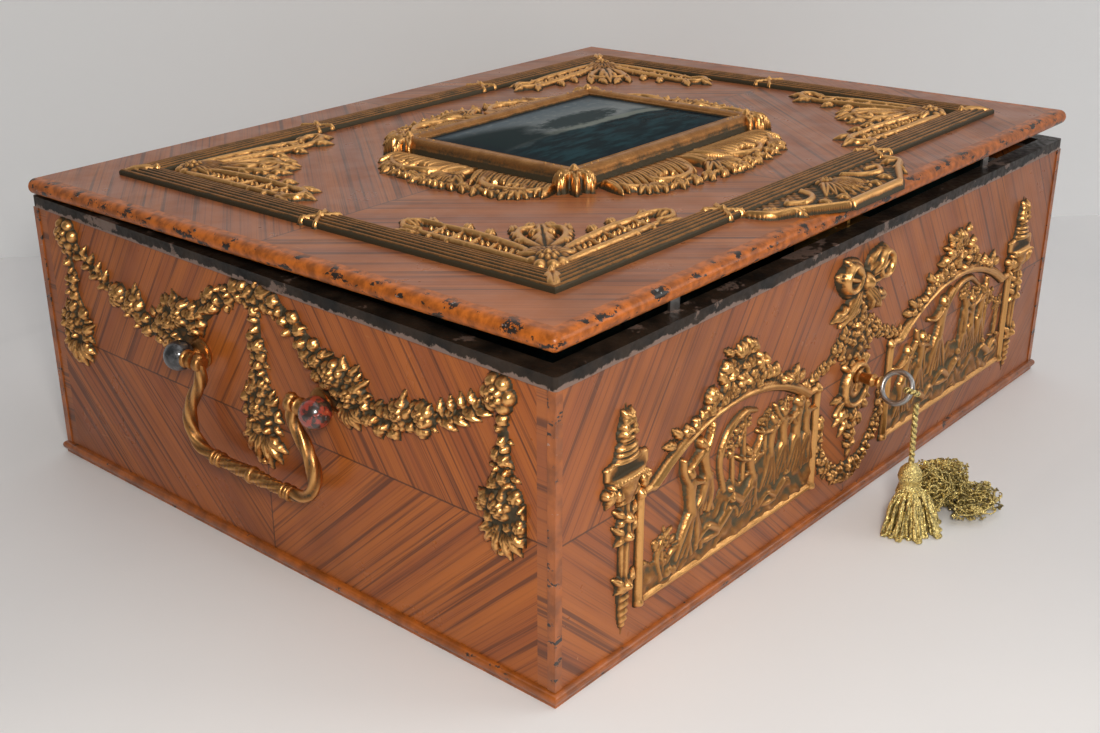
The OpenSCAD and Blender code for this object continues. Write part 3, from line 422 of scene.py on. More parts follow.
def velvet(name, wood):
    """Silk velvet: short pile with a brushed nap and a soft sheen."""
    f = Finish(name, Sheen_Weight=0.7, Sheen_Roughness=0.35, Specular_IOR_Level=0.2)
    place = f.place()
    nap = f.noise(place, 60.0, 3.0, 0.6, 0.3)
    pile = f.noise(place, 2600.0, 2.0)
    colour = tuple(wood.lining)
    tone = f.mix(f.span(nap, 0.35, 0.7), tuple(0.6 * x for x in colour), tuple(1.6 * x for x in colour))
    f.set(Base_Color=f.mix(f.span(pile, 0.3, 0.8, 0.0, 0.4), tone, tuple(0.4 * x for x in colour)),
          Roughness=0.8, Normal=f.bump(pile, 0.0003, 0.7, f.bump(nap, 0.0008, 0.4)))
    return f.material


def gold_thread(name, metal):
    """Foil wound thread: painted glints at cells along every strand, and painted shade in the grooves between its
    plies.
    """
    f = Finish(name)
    place = f.place()
    painted_glint = f.cells(place, 1900.0)
    weave = f.noise(place, 1300.0, 3.0, 0.7)
    # Random weave tone plus painted shade: darker where the relief attribute is low (the grooves between the
    # plies), lighter on the crests.
    weave_and_painted_shade = f.math("MULTIPLY_ADD", weave, 0.9, f.math("MULTIPLY_ADD", f.attribute("relief"), 0.8, -0.45))
    bright = tuple(metal.thread)
    tone = f.mix(f.span(weave_and_painted_shade, 0.20, 0.62), tuple(0.20 * x for x in bright), bright)
    # Painted glints: near-white spots mixed into the colour at the middle of each cell.
    tone = f.mix(f.span(painted_glint, 0.0, 0.30, 0.8, 0.0), tone, (1.0, 0.90, 0.55))
    f.set(Base_Color=tone, Metallic=0.8, Roughness=f.span(weave, 0.3, 0.7, 0.20, 0.5),
          Normal=f.bump(painted_glint, 0.0003, 1.0))
    return f.material


def enamel(name, middle, half_u, half_v):
    """Painted enamel landscape under a glossy glaze: pale sky, dark trees, pale banks, blue-green water."""
    f = Finish(name, Coat_Weight=0.12, Coat_Roughness=0.05, Specular_IOR_Level=0.0)
    place = f.place()
    x, y = f.axes(place)[:2]
    u = f.math("DIVIDE", f.math("SUBTRACT", x, middle[0]), half_u)
    v = f.math("DIVIDE", f.math("SUBTRACT", y, middle[1]), half_v)
    smear = f.noise(f.vector(u, v, 0.0), 3.2, 4.0, 0.6)
    dabs = f.noise(f.vector(u, v, 1.0), 14.0, 4.0, 0.65)
    shift = f.math("MULTIPLY_ADD", smear, 0.5, -0.25)
    level = f.math("ADD", v, shift)
    sky = f.mix(f.span(level, 0.1, 0.9), (0.20, 0.22, 0.22), (0.10, 0.13, 0.15))
    sky = f.mix(f.span(dabs, 0.5, 0.75, 0.0, 0.5), sky, (0.28, 0.30, 0.29))
    water = f.mix(f.span(f.noise(f.vector(f.math("MULTIPLY", u, 0.4), v, 2.0), 9.0, 3.0), 0.4, 0.65),
                  (0.004, 0.014, 0.018), (0.012, 0.042, 0.052))
    tone = f.mix(f.span(level, -0.12, 0.10), water, sky)
    banks = f.math("ADD", v, f.math("MULTIPLY", u, 0.10))
    bank = f.span(f.math("ABSOLUTE", f.math("ADD", f.math("ADD", banks, 0.02),
                                            f.math("MULTIPLY", shift, 0.25))),
                  0.04, 0.09, 0.85, 0.0)
    tone = f.mix(f.math("MULTIPLY", bank, f.span(u, -0.85, -0.55)), tone, (0.20, 0.22, 0.19))
    wood_edge = f.math("ADD", u, f.math("MULTIPLY", shift, 1.3))
    trees = f.math("MULTIPLY", f.span(wood_edge, -0.5, -0.12, 1.0, 0.0), f.span(v, -0.15, 0.02))
    trees = f.math("MULTIPLY", trees, f.span(f.math("ADD", v, f.math("MULTIPLY", u, 0.5)), 0.55, 0.2, 0.0,
                                             1.0))
    tone = f.mix(trees, tone, (0.010, 0.022, 0.024))
    across = f.math("MULTIPLY_ADD", u, 1.9, -0.25)
    rise = f.math("MULTIPLY_ADD", v, 4.2, -0.9)
    copse = f.math("ADD", f.math("MULTIPLY", across, across), f.math("MULTIPLY", rise, rise))
    copse = f.span(f.math("ADD", copse, f.math("MULTIPLY", dabs, 1.6)), 1.2, 1.9, 1.0, 0.0)
    tone = f.mix(copse, tone, (0.030, 0.045, 0.048))
    rim = f.math("MAXIMUM", f.math("ABSOLUTE", u), f.math("ABSOLUTE", v))
    tone = f.mix(f.span(rim, 0.82, 1.0, 0.0, 0.9), tone, (0.010, 0.016, 0.022))
    f.set(Base_Color=tone, Roughness=0.22, Normal=f.bump(dabs, 0.00008))
    return f.material


def knob_paint(name):
    """Glossy lacquer on the handle knobs: worn red over black at the front left, near black elsewhere."""
    f = Finish(name, Coat_Weight=1.0, Coat_Roughness=0.06)
    place = f.place()
    x, y = f.axes(place)[:2]
    front = f.math("MULTIPLY", f.math("LESS_THAN", y, 0.0), f.math("LESS_THAN", x, 0.0))
    worn = f.span(f.noise(place, 260.0, 3.0, 0.6), 0.46, 0.56)
    red = f.mix(worn, (0.30, 0.035, 0.018), (0.03, 0.018, 0.014))
    black = f.mix(worn, (0.012, 0.013, 0.015), (0.045, 0.047, 0.052))
    f.set(Base_Color=f.mix(front, black, red), Roughness=0.3, Normal=f.bump(worn, 0.00008))
    return f.material


def clear_glass(name):
    f = Finish(name, Base_Color=(0.93, 0.97, 0.96), Roughness=0.02, Transmission_Weight=1.0, IOR=1.48)
    place = f.place()
    f.set(Normal=f.bump(f.noise(place, 8.0, 1.0), 0.0004, 0.2))
    return f.material


def floor_paint(name):
    """Pale table top: soft cloudy stains and a few faint streaks."""
    f = Finish(name, Specular_IOR_Level=0.25)
    place = f.place()
    cloud = f.noise(place, 2.2, 4.0, 0.55)
    streak = f.noise(f.mapped(place, (0.6, 5.0, 1.0), (0, 0, 0.35)), 3.0, 3.0)
    tone = f.mix(f.span(cloud, 0.3, 0.75), (0.82, 0.81, 0.81), (0.74, 0.74, 0.75))
    tone = f.mix(f.span(streak, 0.6, 0.8, 0.0, 0.25), tone, (0.66, 0.66, 0.67))
    f.set(Base_Color=tone, Roughness=0.55, Normal=f.bump(f.noise(place, 90.0, 3.0), 0.0003, 0.3))
    return f.material


# ---- meshes -------------------------------------------------------------------------------------


def make_piece(name, points, faces, material, body, smooth=40.0, attributes=None):
    """A mesh object from points in millimetres, riding on a body. Edges sharper than smooth stay crisp."""
    mesh = bpy.data.meshes.new(name)
    points = np.ascontiguousarray(points, np.float64).reshape(-1, 3) * MM
    faces = [np.asarray(block, np.int32) for block in (faces if isinstance(faces, list) else [faces])]
    sizes = np.concatenate([np.full(len(b), b.shape[1], np.int32) for b in faces])
    corners_of = np.concatenate([b.ravel() for b in faces])
    mesh.vertices.add(len(points))
    mesh.vertices.foreach_set("co", points.ravel())
    mesh.loops.add(len(corners_of))
    mesh.loops.foreach_set("vertex_index", corners_of)
    mesh.polygons.add(len(sizes))
    mesh.polygons.foreach_set("loop_start", np.concatenate([[0], np.cumsum(sizes)[:-1]]).astype(np.int32))
    mesh.polygons.foreach_set("use_smooth", np.ones(len(sizes), bool))
    mesh.update(calc_edges=True)
    for key, values in (attributes or {}).items():
        layer = mesh.attributes.new(key, "FLOAT", "POINT")
        layer.data.foreach_set("value", np.asarray(values, np.float32).ravel())
    if mesh.validate():
        raise RuntimeError(f"{name} has a face that Blender refuses")
    if smooth < 180:
        mesh.set_sharp_from_angle(angle=math.radians(smooth))
    mesh.materials.append(material)
    made = bpy.data.objects.new(name, mesh)
    bpy.context.scene.collection.objects.link(made)
    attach(made, body)
    return made


def grid_faces(rows, columns, close_rows=False, close_columns=False):
    """Quads of a rows by columns grid, wrapped round where asked."""
    i = np.arange(rows if close_rows else rows - 1)[:, None]
    j = np.arange(columns if close_columns else columns - 1)[None, :]
    a = i * columns + j
    b = i * columns + (j + 1) % columns
    c = ((i + 1) % rows) * columns + (j + 1) % columns
    d = ((i + 1) % rows) * columns + j
    return np.stack([a, b, c, d], axis=-1).reshape(-1, 4)


BOX_CORNERS = np.array([(0, 0, 0), (1, 0, 0), (1, 1, 0), (0, 1, 0), (0, 0, 1), (1, 0, 1), (1, 1, 1),
                        (0, 1, 1)])
BOX_FACES = np.array([(0, 3, 2, 1), (4, 5, 6, 7), (0, 1, 5, 4), (1, 2, 6, 5), (2, 3, 7, 6), (3, 0, 4, 7)])


def tilted(angle):
    """Turn about the y axis."""
    c, s = math.cos(angle), math.sin(angle)
    return np.array([[c, 0, s], [0, 1, 0], [-s, 0, c]])


def smooth_path(knots, count):
    """Points along a curve through the knots: each span is the Catmull-Rom cubic of its four neighbours."""
    knots = np.asarray(knots, float)
    ends = np.vstack([2 * knots[0] - knots[1], knots, 2 * knots[-1] - knots[-2]])
    t = np.linspace(0, len(knots) - 1, count)
    k = np.minimum(t.astype(int), len(knots) - 2)
    f = (t - k)[:, None]
    a, b, c, d = ends[k], ends[k + 1], ends[k + 2], ends[k + 3]
    return 0.5 * (2 * b + (c - a) * f + (2 * a - 5 * b + 4 * c - d) * f ** 2 + (3 * b - a - 3 * c + d) * f ** 3)


def path_frames(path):
    """Two unit vectors across a path at each point: the first turns as little as it can on the way."""
    tangent = np.gradient(path, axis=0)
    tangent /= np.linalg.norm(tangent, axis=1)[:, None] + 1e-12
    side = np.zeros_like(tangent)
    start = np.eye(3)[np.argmin(np.abs(tangent[0]))]
    side[0] = np.cross(tangent[0], start)
    side[0] /= np.linalg.norm(side[0])
    for i in range(1, len(path)):
        leaned = side[i - 1] - tangent[i] * (side[i - 1] @ tangent[i])
        side[i] = leaned / (np.linalg.norm(leaned) + 1e-12)
    return side, np.cross(tangent, side)


def capped(rings, path):
    """Rings of points along a path as one closed surface, with a pole point at each end."""
    rows, around = rings.shape[:2]
    k = np.arange(around)
    start = np.stack([np.full(around, rows * around), (k + 1) % around, k], axis=1)
    stop = np.stack([np.full(around, rows * around + 1), (rows - 1) * around + k,
                     (rows - 1) * around + (k + 1) % around], axis=1)
    points = np.vstack([rings.reshape(-1, 3), path[:1], path[-1:]])
    return points, [grid_faces(rows, around, close_columns=True), np.vstack([start, stop])]


def tube(path, radius, around=12, flutes=0, depth=0.0, twist=0.0, flat=1.0):
    """Points and faces of a closed tube along a path, with pole points at its ends.

    Radius at angle a and distance s along the path is r(s) (1 + depth cos(flutes a + twist s)); flat squeezes
    the second direction. Returns points, faces and how high each point stands on its flutes.
    """
    path = np.asarray(path, float)
    radius = np.broadcast_to(np.asarray(radius, float), len(path))
    side, other = path_frames(path)
    run = np.concatenate([[0], np.cumsum(np.linalg.norm(np.diff(path, axis=0), axis=1))])
    a = np.arange(around) * TAU / around
    wave = np.cos(flutes * a[None, :] + twist * run[:, None])
    r = radius[:, None] * (1 + depth * wave)
    squeeze = np.broadcast_to(np.asarray(flat, float), len(path))[:, None]
    points = path[:, None] + side[:, None] * (r * np.cos(a))[..., None]
    points = points + other[:, None] * (r * np.sin(a) * squeeze)[..., None]
    rows = len(path)
    points, faces = capped(points, path)
    high = np.concatenate([(0.58 + 0.26 * wave).ravel() if flutes else np.full(rows * around, 0.6),
                           [0.6, 0.6]])
    return points, faces, high


def turned(profile, centre, axis, around=32):
    """A closed body of revolution: its profile is distance along the axis and radius."""
    profile = np.asarray(profile, float)
    axis = np.asarray(axis, float)
    path = np.asarray(centre, float) + profile[:, :1] * axis
    side = np.cross(axis, [0.3, 0.5, 0.8])
    side /= np.linalg.norm(side)
    other = np.cross(axis, side)
    a = np.arange(around) * TAU / around
    ring = np.cos(a)[:, None] * side + np.sin(a)[:, None] * other
    return capped(path[:, None] + profile[:, 1][:, None, None] * ring[None], path)


def joined(parts):
    """Several (points, [quads, triangles], high) as one. A part with no high stands at 0.62 all over."""
    points, quads, triangles, high, shift = [], [], [], [], 0
    for part in parts:
        points.append(part[0])
        quads.append(part[1][0] + shift)
        triangles.append(part[1][1] + shift)
        high.append(part[2] if len(part) > 2 else np.full(len(part[0]), 0.62))
        shift += len(part[0])
    return np.vstack(points), [np.vstack(quads), np.vstack(triangles)], np.concatenate(high)


# ---- carving ------------------------------------------------------------------------------------


def neighbours(height):
    """The sum of each height's four neighbours, the edge repeated outwards."""
    wide = np.pad(height, 1, mode="edge")
    return wide[:-2, 1:-1] + wide[2:, 1:-1] + wide[1:-1, :-2] + wide[1:-1, 2:]


def curve_length(points):
    """Length of the straight runs from point to point."""
    return np.sum(np.linalg.norm(np.diff(points, axis=0), axis=1))


class Carving:
    """A height h(u, v) in millimetres over a rectangle. Each mark only ever raises it."""

    def __init__(self, low, high, pitch):
        self.u = np.linspace(low[0], high[0], int((high[0] - low[0]) / pitch) + 2)
        self.v = np.linspace(low[1], high[1], int((high[1] - low[1]) / pitch) + 2)
        self.h = np.zeros((len(self.v), len(self.u)))

    def near(self, x, y, reach):
        """The window within reach of a point, and each window point's offset from it."""
        i = slice(*np.searchsorted(self.u, [x - reach, x + reach]))
        j = slice(*np.searchsorted(self.v, [y - reach, y + reach]))
        return (j, i), self.u[i][None, :] - x, self.v[j][:, None] - y

    def lift(self, window, height):
        self.h[window] = np.maximum(self.h[window], height)

    def ball(self, x, y, r, top):
        """Half ball: h = top sqrt(1 - d^2 / r^2)."""
        window, du, dv = self.near(x, y, r)
        self.lift(window, top * np.sqrt(np.clip(1 - (du ** 2 + dv ** 2) / r ** 2, 0, 1)))

    def ring(self, x, y, r, wall, top):
        """Half-round ring: h = top sqrt(1 - ((d - r) / wall)^2)."""
        window, du, dv = self.near(x, y, r + wall)
        d = (np.hypot(du, dv) - r) / wall
        self.lift(window, top * np.sqrt(np.clip(1 - d ** 2, 0, 1)))

    def leaf(self, x, y, turn, length, width, top, lobes=0, ribs=1, base=0.25):
        """A leaf or petal from its foot at (x, y), turned in degrees from +u.

        Along the leaf s runs 0 to 1 and half its width is w(s) = width/2 sin(pi s^0.7)^0.7, notched by lobes;
        across it t = offset / w. Height is top (base + (1 - base) sin(pi s^0.85)) sqrt(1 - t^2) with ribs cut in.
        """
        window, du, dv = self.near(x, y, length + width)
        c, s_ = math.cos(math.radians(turn)), math.sin(math.radians(turn))
        s = np.clip((du * c + dv * s_) / length, 0, 1)
        inside = (du * c + dv * s_ >= 0) & (du * c + dv * s_ <= length)
        half = width / 2 * np.sin(math.pi * s ** 0.7) ** 0.7
        if lobes:
            half = half * (0.86 + 0.14 * np.cos(TAU * lobes * s))
        t = (dv * c - du * s_) / np.maximum(half, 1e-3)
        body = top * (base + (1 - base) * np.sin(math.pi * s ** 0.85))
        cut = 1 - 0.34 * np.cos(math.pi * ribs * t) ** 6 if ribs % 2 else 0.8 + 0.2 * np.cos(math.pi * ribs * t)
        height = body * np.sqrt(np.clip(1 - t ** 2, 0, 1)) * cut
        self.lift(window, np.where(inside, height, 0))

    def rose(self, x, y, r, top, petals=5, turn=0.0):
        """Half-round rings of petals round a heart, the outer rim scalloped by |cos(petals a / 2)|."""
        window, du, dv = self.near(x, y, r)
        a = np.arctan2(dv, du) - math.radians(turn)
        scallop = np.abs(np.cos(petals * a / 2)) ** 0.7
        inner = np.abs(np.cos(petals * a / 2 + 1.2)) ** 0.7
        d = np.hypot(du, dv) / r
        outer = 0.62 * np.sqrt(np.clip(1 - ((d / (0.80 + 0.20 * scallop) - 0.66) / 0.34) ** 2, 0, 1))
        middle = 0.9 * np.sqrt(np.clip(1 - ((d / (0.86 + 0.14 * inner) - 0.33) / 0.24) ** 2, 0, 1))
        heart = np.sqrt(np.clip(1 - (d / 0.17) ** 2, 0, 1))
        height = np.maximum(outer * (0.65 + 0.35 * scallop), middle * (0.7 + 0.3 * inner))
        self.lift(window, top * np.maximum(height, 0.95 * heart))

    def stroke(self, knots, radius, top, ribs=0, twist=0.0, square=False, count=None):
        """A half-round stroke along a curve: x = d / r across it, h = top sqrt(1 - x^2).

        A square stroke has h = top (1 - x^4)^0.6 instead.

        Radius and top may change along the curve. Ribs run lengthwise, cos(ribs pi x); twist winds strands
        round it, cos(twist s + 2.2 x), with s the distance along.
        """
        knots = np.asarray(knots, float)
        length = curve_length(knots)
        count = count or max(8, int(length / 0.45))
        path = smooth_path(knots, count) if len(knots) > 2 else np.linspace(knots[0], knots[1], count)
        share = np.linspace(0, 1, count)
        radius = np.interp(share, np.linspace(0, 1, np.size(radius)), np.ravel(radius))
        top = np.interp(share, np.linspace(0, 1, np.size(top)), np.ravel(top))
        reach = radius.max()
        centre, spread = (path.max(0) + path.min(0)) / 2, (path.max(0) - path.min(0)) / 2
        i = slice(*np.searchsorted(self.u, [centre[0] - spread[0] - reach, centre[0] + spread[0] + reach]))
        j = slice(*np.searchsorted(self.v, [centre[1] - spread[1] - reach, centre[1] + spread[1] + reach]))
        uu, vv = np.meshgrid(self.u[i], self.v[j])
        flat = np.stack([uu.ravel(), vv.ravel()], axis=1)
        best = np.full(len(flat), 1e9)
        height = np.zeros(len(flat))
        run = np.concatenate([[0], np.cumsum(np.linalg.norm(np.diff(path, axis=0), axis=1))])
        for start in range(0, count, 64):
            part = slice(start, start + 64)
            gap = flat[:, None, :] - path[None, part, :]
            x = np.hypot(gap[..., 0], gap[..., 1]) / radius[None, part]
            nearest = np.argmin(x, axis=1)
            rows = np.arange(len(flat))
            closer = x[rows, nearest] < best
            k = nearest + start
            ahead = path[np.minimum(k + 1, count - 1)] - path[np.maximum(k - 1, 0)]
            side = np.sign(ahead[:, 0] * gap[rows, nearest, 1] - ahead[:, 1] * gap[rows, nearest, 0])
            signed = x[rows, nearest] * side
            shape = np.clip(1 - np.abs(signed) ** (4 if square else 2), 0, 1) ** (0.6 if square else 0.5)
            if ribs:
                shape = shape * (0.82 + 0.18 * np.cos(ribs * math.pi * signed))
            if twist:
                shape = shape * (0.80 + 0.20 * np.cos(twist * run[k] + 2.2 * signed))
            height[closer] = (top[k] * shape)[closer]
            best[closer] = x[rows, nearest][closer]
        self.lift((j, i), height.reshape(uu.shape))

    def flower(self, x, y, r, top, petals=5, turn=0.0):
        """An open flower: petals as short leaves about a bead."""
        for k in range(petals):
            self.leaf(x, y, turn + 360 * k / petals, r, r * 0.95, top * 0.8)
        self.ball(x, y, r * 0.32, top)

    def bouquet(self, x, y, half_u, half_v, count, top, rng, size=(1.6, 3.0)):
        """Leaves round the rim of an oval and blossoms filling it, the tallest in the middle."""
        for k in range(count):
            a = TAU * (k + rng.uniform(-0.3, 0.3)) / count
            px, py = x + half_u * 0.72 * math.cos(a), y + half_v * 0.72 * math.sin(a)
            self.leaf(px, py, math.degrees(a) + rng.uniform(-35, 35), size[1] * rng.uniform(1.2, 1.7),
                      size[1] * rng.uniform(0.6, 0.9), top * rng.uniform(0.35, 0.55), lobes=3)
        window, du, dv = self.near(x, y, max(half_u, half_v))
        mound = np.sqrt(np.clip(1 - (du / (half_u * 0.86)) ** 2 - (dv / (half_v * 0.86)) ** 2, 0, 1))
        self.lift(window, top * 0.34 * mound)
        a, d = rng.uniform(0, TAU, count * 5), np.sqrt(rng.uniform(0, 0.86, count * 5))
        spots = np.stack([x + half_u * d * np.cos(a), y + half_v * d * np.sin(a)], axis=1)
        self.strew(spots, top * (1.0 - 0.38 * d), rng, size)

    def strew(self, spots, tops, rng, size, gap=0.74):
        """Blossoms, buds and small leaves on those spots that lie clear of the ones already set."""
        kept = []
        for (px, py), height in zip(spots, tops):
            r = rng.uniform(*size)
            turn = rng.uniform(0, 360)
            kind = rng.integers(0, 6)
            height = height * rng.uniform(0.85, 1.08)
            if any(math.hypot(px - q[0], py - q[1]) < gap * (r + q[2]) for q in kept):
                continue
            kept.append((px, py, r))
            if kind < 3:
                self.rose(px, py, r * 1.12, height, 5, turn)
            elif kind == 3:
                self.flower(px, py, r * 1.15, height, 5, turn)
            elif kind == 4:
                self.leaf(px - r * 0.8 * math.cos(math.radians(turn)),
                          py - r * 0.8 * math.sin(math.radians(turn)), turn,
                          r * 2.0, r * 1.2, height * 0.8, lobes=3)
            else:
                self.ball(px, py, r * 0.62, height)

    def garland(self, knots, widths, top, rng, step=2.6, size=(1.4, 2.6)):
        """Blossoms and leaves strewn along a curve, as wide as widths says on each side of it."""
        knots = np.asarray(knots, float)
        length = curve_length(knots)
        count = max(3, int(length / step))
        path = smooth_path(knots, count)
        ahead = np.gradient(path, axis=0)
        ahead /= np.linalg.norm(ahead, axis=1)[:, None] + 1e-9
        wide = np.interp(np.linspace(0, 1, count), np.linspace(0, 1, len(widths)), widths)
        self.stroke(knots, wide * 0.62, np.asarray([top * 0.26]), twist=1.7)
        across = np.stack([-ahead[:, 1], ahead[:, 0]], axis=1)
        for k in range(count):
            heading = math.degrees(math.atan2(ahead[k, 1], ahead[k, 0]))
            for sign in (-1, 1):
                reach, turn, grow = rng.uniform(0.4, 0.75), rng.uniform(20, 85), rng.uniform(0.55, 1.0)
                if rng.random() < 0.55:
                    p = path[k] + across[k] * sign * wide[k] * reach
                    self.leaf(p[0], p[1], heading + sign * turn, max(2.2, wide[k] * grow),
                              max(1.3, wide[k] * 0.45 * grow), top * 0.42, lobes=3)
        pick = np.repeat(np.arange(count), 7)
        shift = rng.uniform(-0.72, 0.72, len(pick))
        slide = rng.uniform(-0.5, 0.5, len(pick)) * step
        spots = path[pick] + across[pick] * (wide[pick] * shift)[:, None] + ahead[pick] * slide[:, None]
        order = rng.permutation(len(pick))
        tops = top * (1 - 0.35 * np.abs(shift)) * np.minimum(1.0, 0.62 + wide[pick] / 9)
        self.strew(spots[order], tops[order], rng, size)

    def soften(self, passes=1):
        """Averages each height with its four neighbours, keeping bare ground bare."""
        for _ in range(passes):
            near = neighbours(self.h) / 4
            self.h = np.where(self.h > 0, 0.6 * self.h + 0.4 * near, 0)
        return self

    def pierce(self, x, y, r_u, r_v):
        """Opens an oval hole."""
        window, du, dv = self.near(x, y, max(r_u, r_v))
        self.h[window] = np.where((du / r_u) ** 2 + (dv / r_v) ** 2 < 1, 0, self.h[window])

    def mirrored(self):
        """The same carving with u reversed."""
        twin = object.__new__(Carving)
        twin.u, twin.v, twin.h = -self.u[::-1], self.v, self.h[:, ::-1]
        return twin

    def relief(self):
        """How far each point stands above its surroundings, 0 in a hollow to 1 on a ridge."""
        fine = self.blurred(self.h, 4)
        broad = self.blurred(fine, 30)
        return np.clip(0.40 + 1.1 * (self.h - fine) + 0.50 * (fine - broad), 0, 1)

    def blurred(self, height, passes):
        """The height averaged with its four neighbours, over and over."""
        for _ in range(passes):
            height = (neighbours(height) + height) / 5
        return height


def closed_sheet(quads, count):
    """Faces of a sheet, its underside of count more points, and the side walls between their rims."""
    edges = np.concatenate([quads[:, [k, (k + 1) % 4]] for k in range(4)])
    keys = edges[:, 0].astype(np.int64) * count + edges[:, 1]
    twins = edges[:, 1].astype(np.int64) * count + edges[:, 0]
    rim = edges[~np.isin(keys, twins)]
    walls = np.stack([rim[:, 1], rim[:, 0], rim[:, 0] + count, rim[:, 1] + count], axis=1)
    return np.vstack([quads, quads[:, ::-1] + count, walls])


def cast(name, carving, place, material, body, back=0.25, floor=0.12):
    """The carving as a closed casting: its top sheet, a flat back sunk into the ground, and side walls."""
    solid = carving.h > floor
    cells = solid[:-1, :-1] | solid[1:, :-1] | solid[:-1, 1:] | solid[1:, 1:]
    rows, columns = carving.h.shape
    quads = grid_faces(rows, columns)[cells.ravel()]
    used, compact = np.unique(quads, return_inverse=True)
    quads = compact.reshape(-1, 4)
    uu, vv = np.meshgrid(carving.u, carving.v)
    u, v, h = uu.ravel()[used], vv.ravel()[used], carving.h.ravel()[used]
    top = place(u, v, h)
    under = place(u, v, np.full(len(u), -back))
    count = len(used)
    high = np.concatenate([carving.relief().ravel()[used], np.zeros(count)])
    return make_piece(name, np.vstack([top, under]), closed_sheet(quads, count), material, body,
                      180.0, {"relief": high})


def mixed(rng_seed):
    """A seeded source of chance, so that every run carves the same piece."""
    return np.random.default_rng(rng_seed)


def metals():
    return bpy.context.scene.casket_metal


def wood():
    return bpy.context.scene.casket_wood


def finish(name, build, *arguments, **settings):
    """The material of that name, built on its first use."""
    full = f"{name}_finish"
    return bpy.data.materials.get(full) or build(full, *arguments, **settings)


def gilt():
    return finish("gilt_bronze", bronze, metals())


def brass():
    return finish("brushed_brass", plain_metal, (0.62, 0.40, 0.14), 0.28, (0.15, 1, 1))


def steel():
    return finish("grey_steel", plain_metal, (0.40, 0.39, 0.38), 0.26, (1, 0.15, 1), (0.10, 0.07, 0.05),
                  0.5)


def paint_nodes(material, *names):
    for name in names:
        mesh = frame["nodes"][name].data
        mesh.materials.clear()
        mesh.materials.append(material)


class CasketOperator:
    """What every casket operator shares."""

    bl_options = {"REGISTER", "UNDO"}

    def execute(self, context):
        self.build()
        return {"FINISHED"}


# ---- camera, light and table --------------------------------------------------------------------


CAMERA_PLACE = (-0.4475, -0.3694, 0.2724)
CAMERA_YAW, CAMERA_PITCH = math.radians(40.783), math.radians(23.544)
CAMERA_LENS = 47.52
WALL_LEFT, WALL_RIGHT = np.array([-0.061, 0.376]), np.array([0.425, -0.065])
WALL_HEIGHT = 2.5
FLOOR_REACH = 4
LAMPS = (
    ("ceiling", (0.2, -0.5, 1.9), 1.5, 8.5, (0.97, 0.98, 1.0)),
    ("hand_lamp", (-0.48, -0.46, 0.40), 0.12, 3.1, (1.0, 0.95, 0.88)),
    ("side_lamp", (1.1, -1.3, 0.8), 0.8, 6, (1.0, 0.98, 0.95)),
)


class CASKET_OT_stage(CasketOperator, bpy.types.Operator):
    """Camera at the front left corner, soft lights, a pale table and a pale wall behind it"""

    bl_idname = "casket.stage"
    bl_label = "Stage"

    def build(self):
        self.camera()
        self.table()
        self.lights()

    def camera(self):
        data = bpy.data.cameras.new("camera")
        data.sensor_width = 36.0
        data.lens = CAMERA_LENS
        data.clip_start, data.clip_end = 0.01, 20
        camera = bpy.data.objects.new("camera", data)
        bpy.context.scene.collection.objects.link(camera)
        camera.location = CAMERA_PLACE
        camera.rotation_euler = (math.pi / 2 - CAMERA_PITCH, 0, CAMERA_YAW - math.pi / 2)
        bpy.context.scene.camera = camera

    def table(self):
        along = (WALL_RIGHT - WALL_LEFT) / np.linalg.norm(WALL_RIGHT - WALL_LEFT)
        left, right = WALL_LEFT - along * 3, WALL_RIGHT + along * 3
        floor = [(x * FLOOR_REACH, y * FLOOR_REACH, 0) for x, y in ((-1, -1), (1, -1), (1, 1), (-1, 1))]
        wall = [(*left, -0.02), (*right, -0.02), (*right, WALL_HEIGHT), (*left, WALL_HEIGHT)]
        for name, outline, paint in (("table_top", floor, floor_paint("table_paint")),
                                     ("back_wall_paper", wall, self.wall_paint())):
            mesh = bpy.data.meshes.new(name)
            mesh.from_pydata(outline, [], [(0, 1, 2, 3)])
            mesh.materials.append(paint)
            made = bpy.data.objects.new(name, mesh)
            bpy.context.scene.collection.objects.link(made)

    def wall_paint(self):
        f = Finish("wall_paint", Roughness=0.8)
        cloud = f.noise(f.place(), 1.5, 3.0)
        f.set(Base_Color=f.mix(f.span(cloud, 0.3, 0.7), (0.84, 0.86, 0.88), (0.90, 0.92, 0.94)))
        behind = f.node("NewGeometry", output="Backfacing")
        open_side = f.node("BsdfTransparent")
        both = f.node("MixShader", {0: behind, 1: f.shader.outputs[0], 2: open_side})
        sheet = next(n for n in f.nodes if n.type == "OUTPUT_MATERIAL")
        f.links.new(both, sheet.inputs["Surface"])
        return f.material

    def lights(self):
        world = bpy.data.worlds.new("room")
        world.use_nodes = True
        world.node_tree.nodes["Background"].inputs[0].default_value = (0.92, 0.90, 0.88, 1)
        world.node_tree.nodes["Background"].inputs[1].default_value = 0.17
        bpy.context.scene.world = world
        bpy.context.scene.view_settings.view_transform = "Standard"
        for lamp in LAMPS:
            self.area(*lamp)

    def area(self, name, place, size, power, colour):
        data = bpy.data.lights.new(name, "AREA")
        data.size = size
        data.energy = power
        data.color = colour
        lamp = bpy.data.objects.new(name, data)
        lamp.location = place
        lamp.rotation_euler = (Vector((0, 0, 0.05)) - Vector(place)).to_track_quat("-Z", "Y").to_euler()
        bpy.context.scene.collection.objects.link(lamp)


# ---- cord and tassel ----------------------------------------------------------------------------


# The hanging cord's course as (x, z), from the key's ring down into the tassel's head
CORD_DROP = [(0.0, 50.0), (0.1, 46), (0.2, 42), (0.4, 38), (0.6, 34), (0.9, 29), (1.2, 25), (1.2, 21),
             (1.2, 17.5)]
KEY_LEAN = math.radians(30)
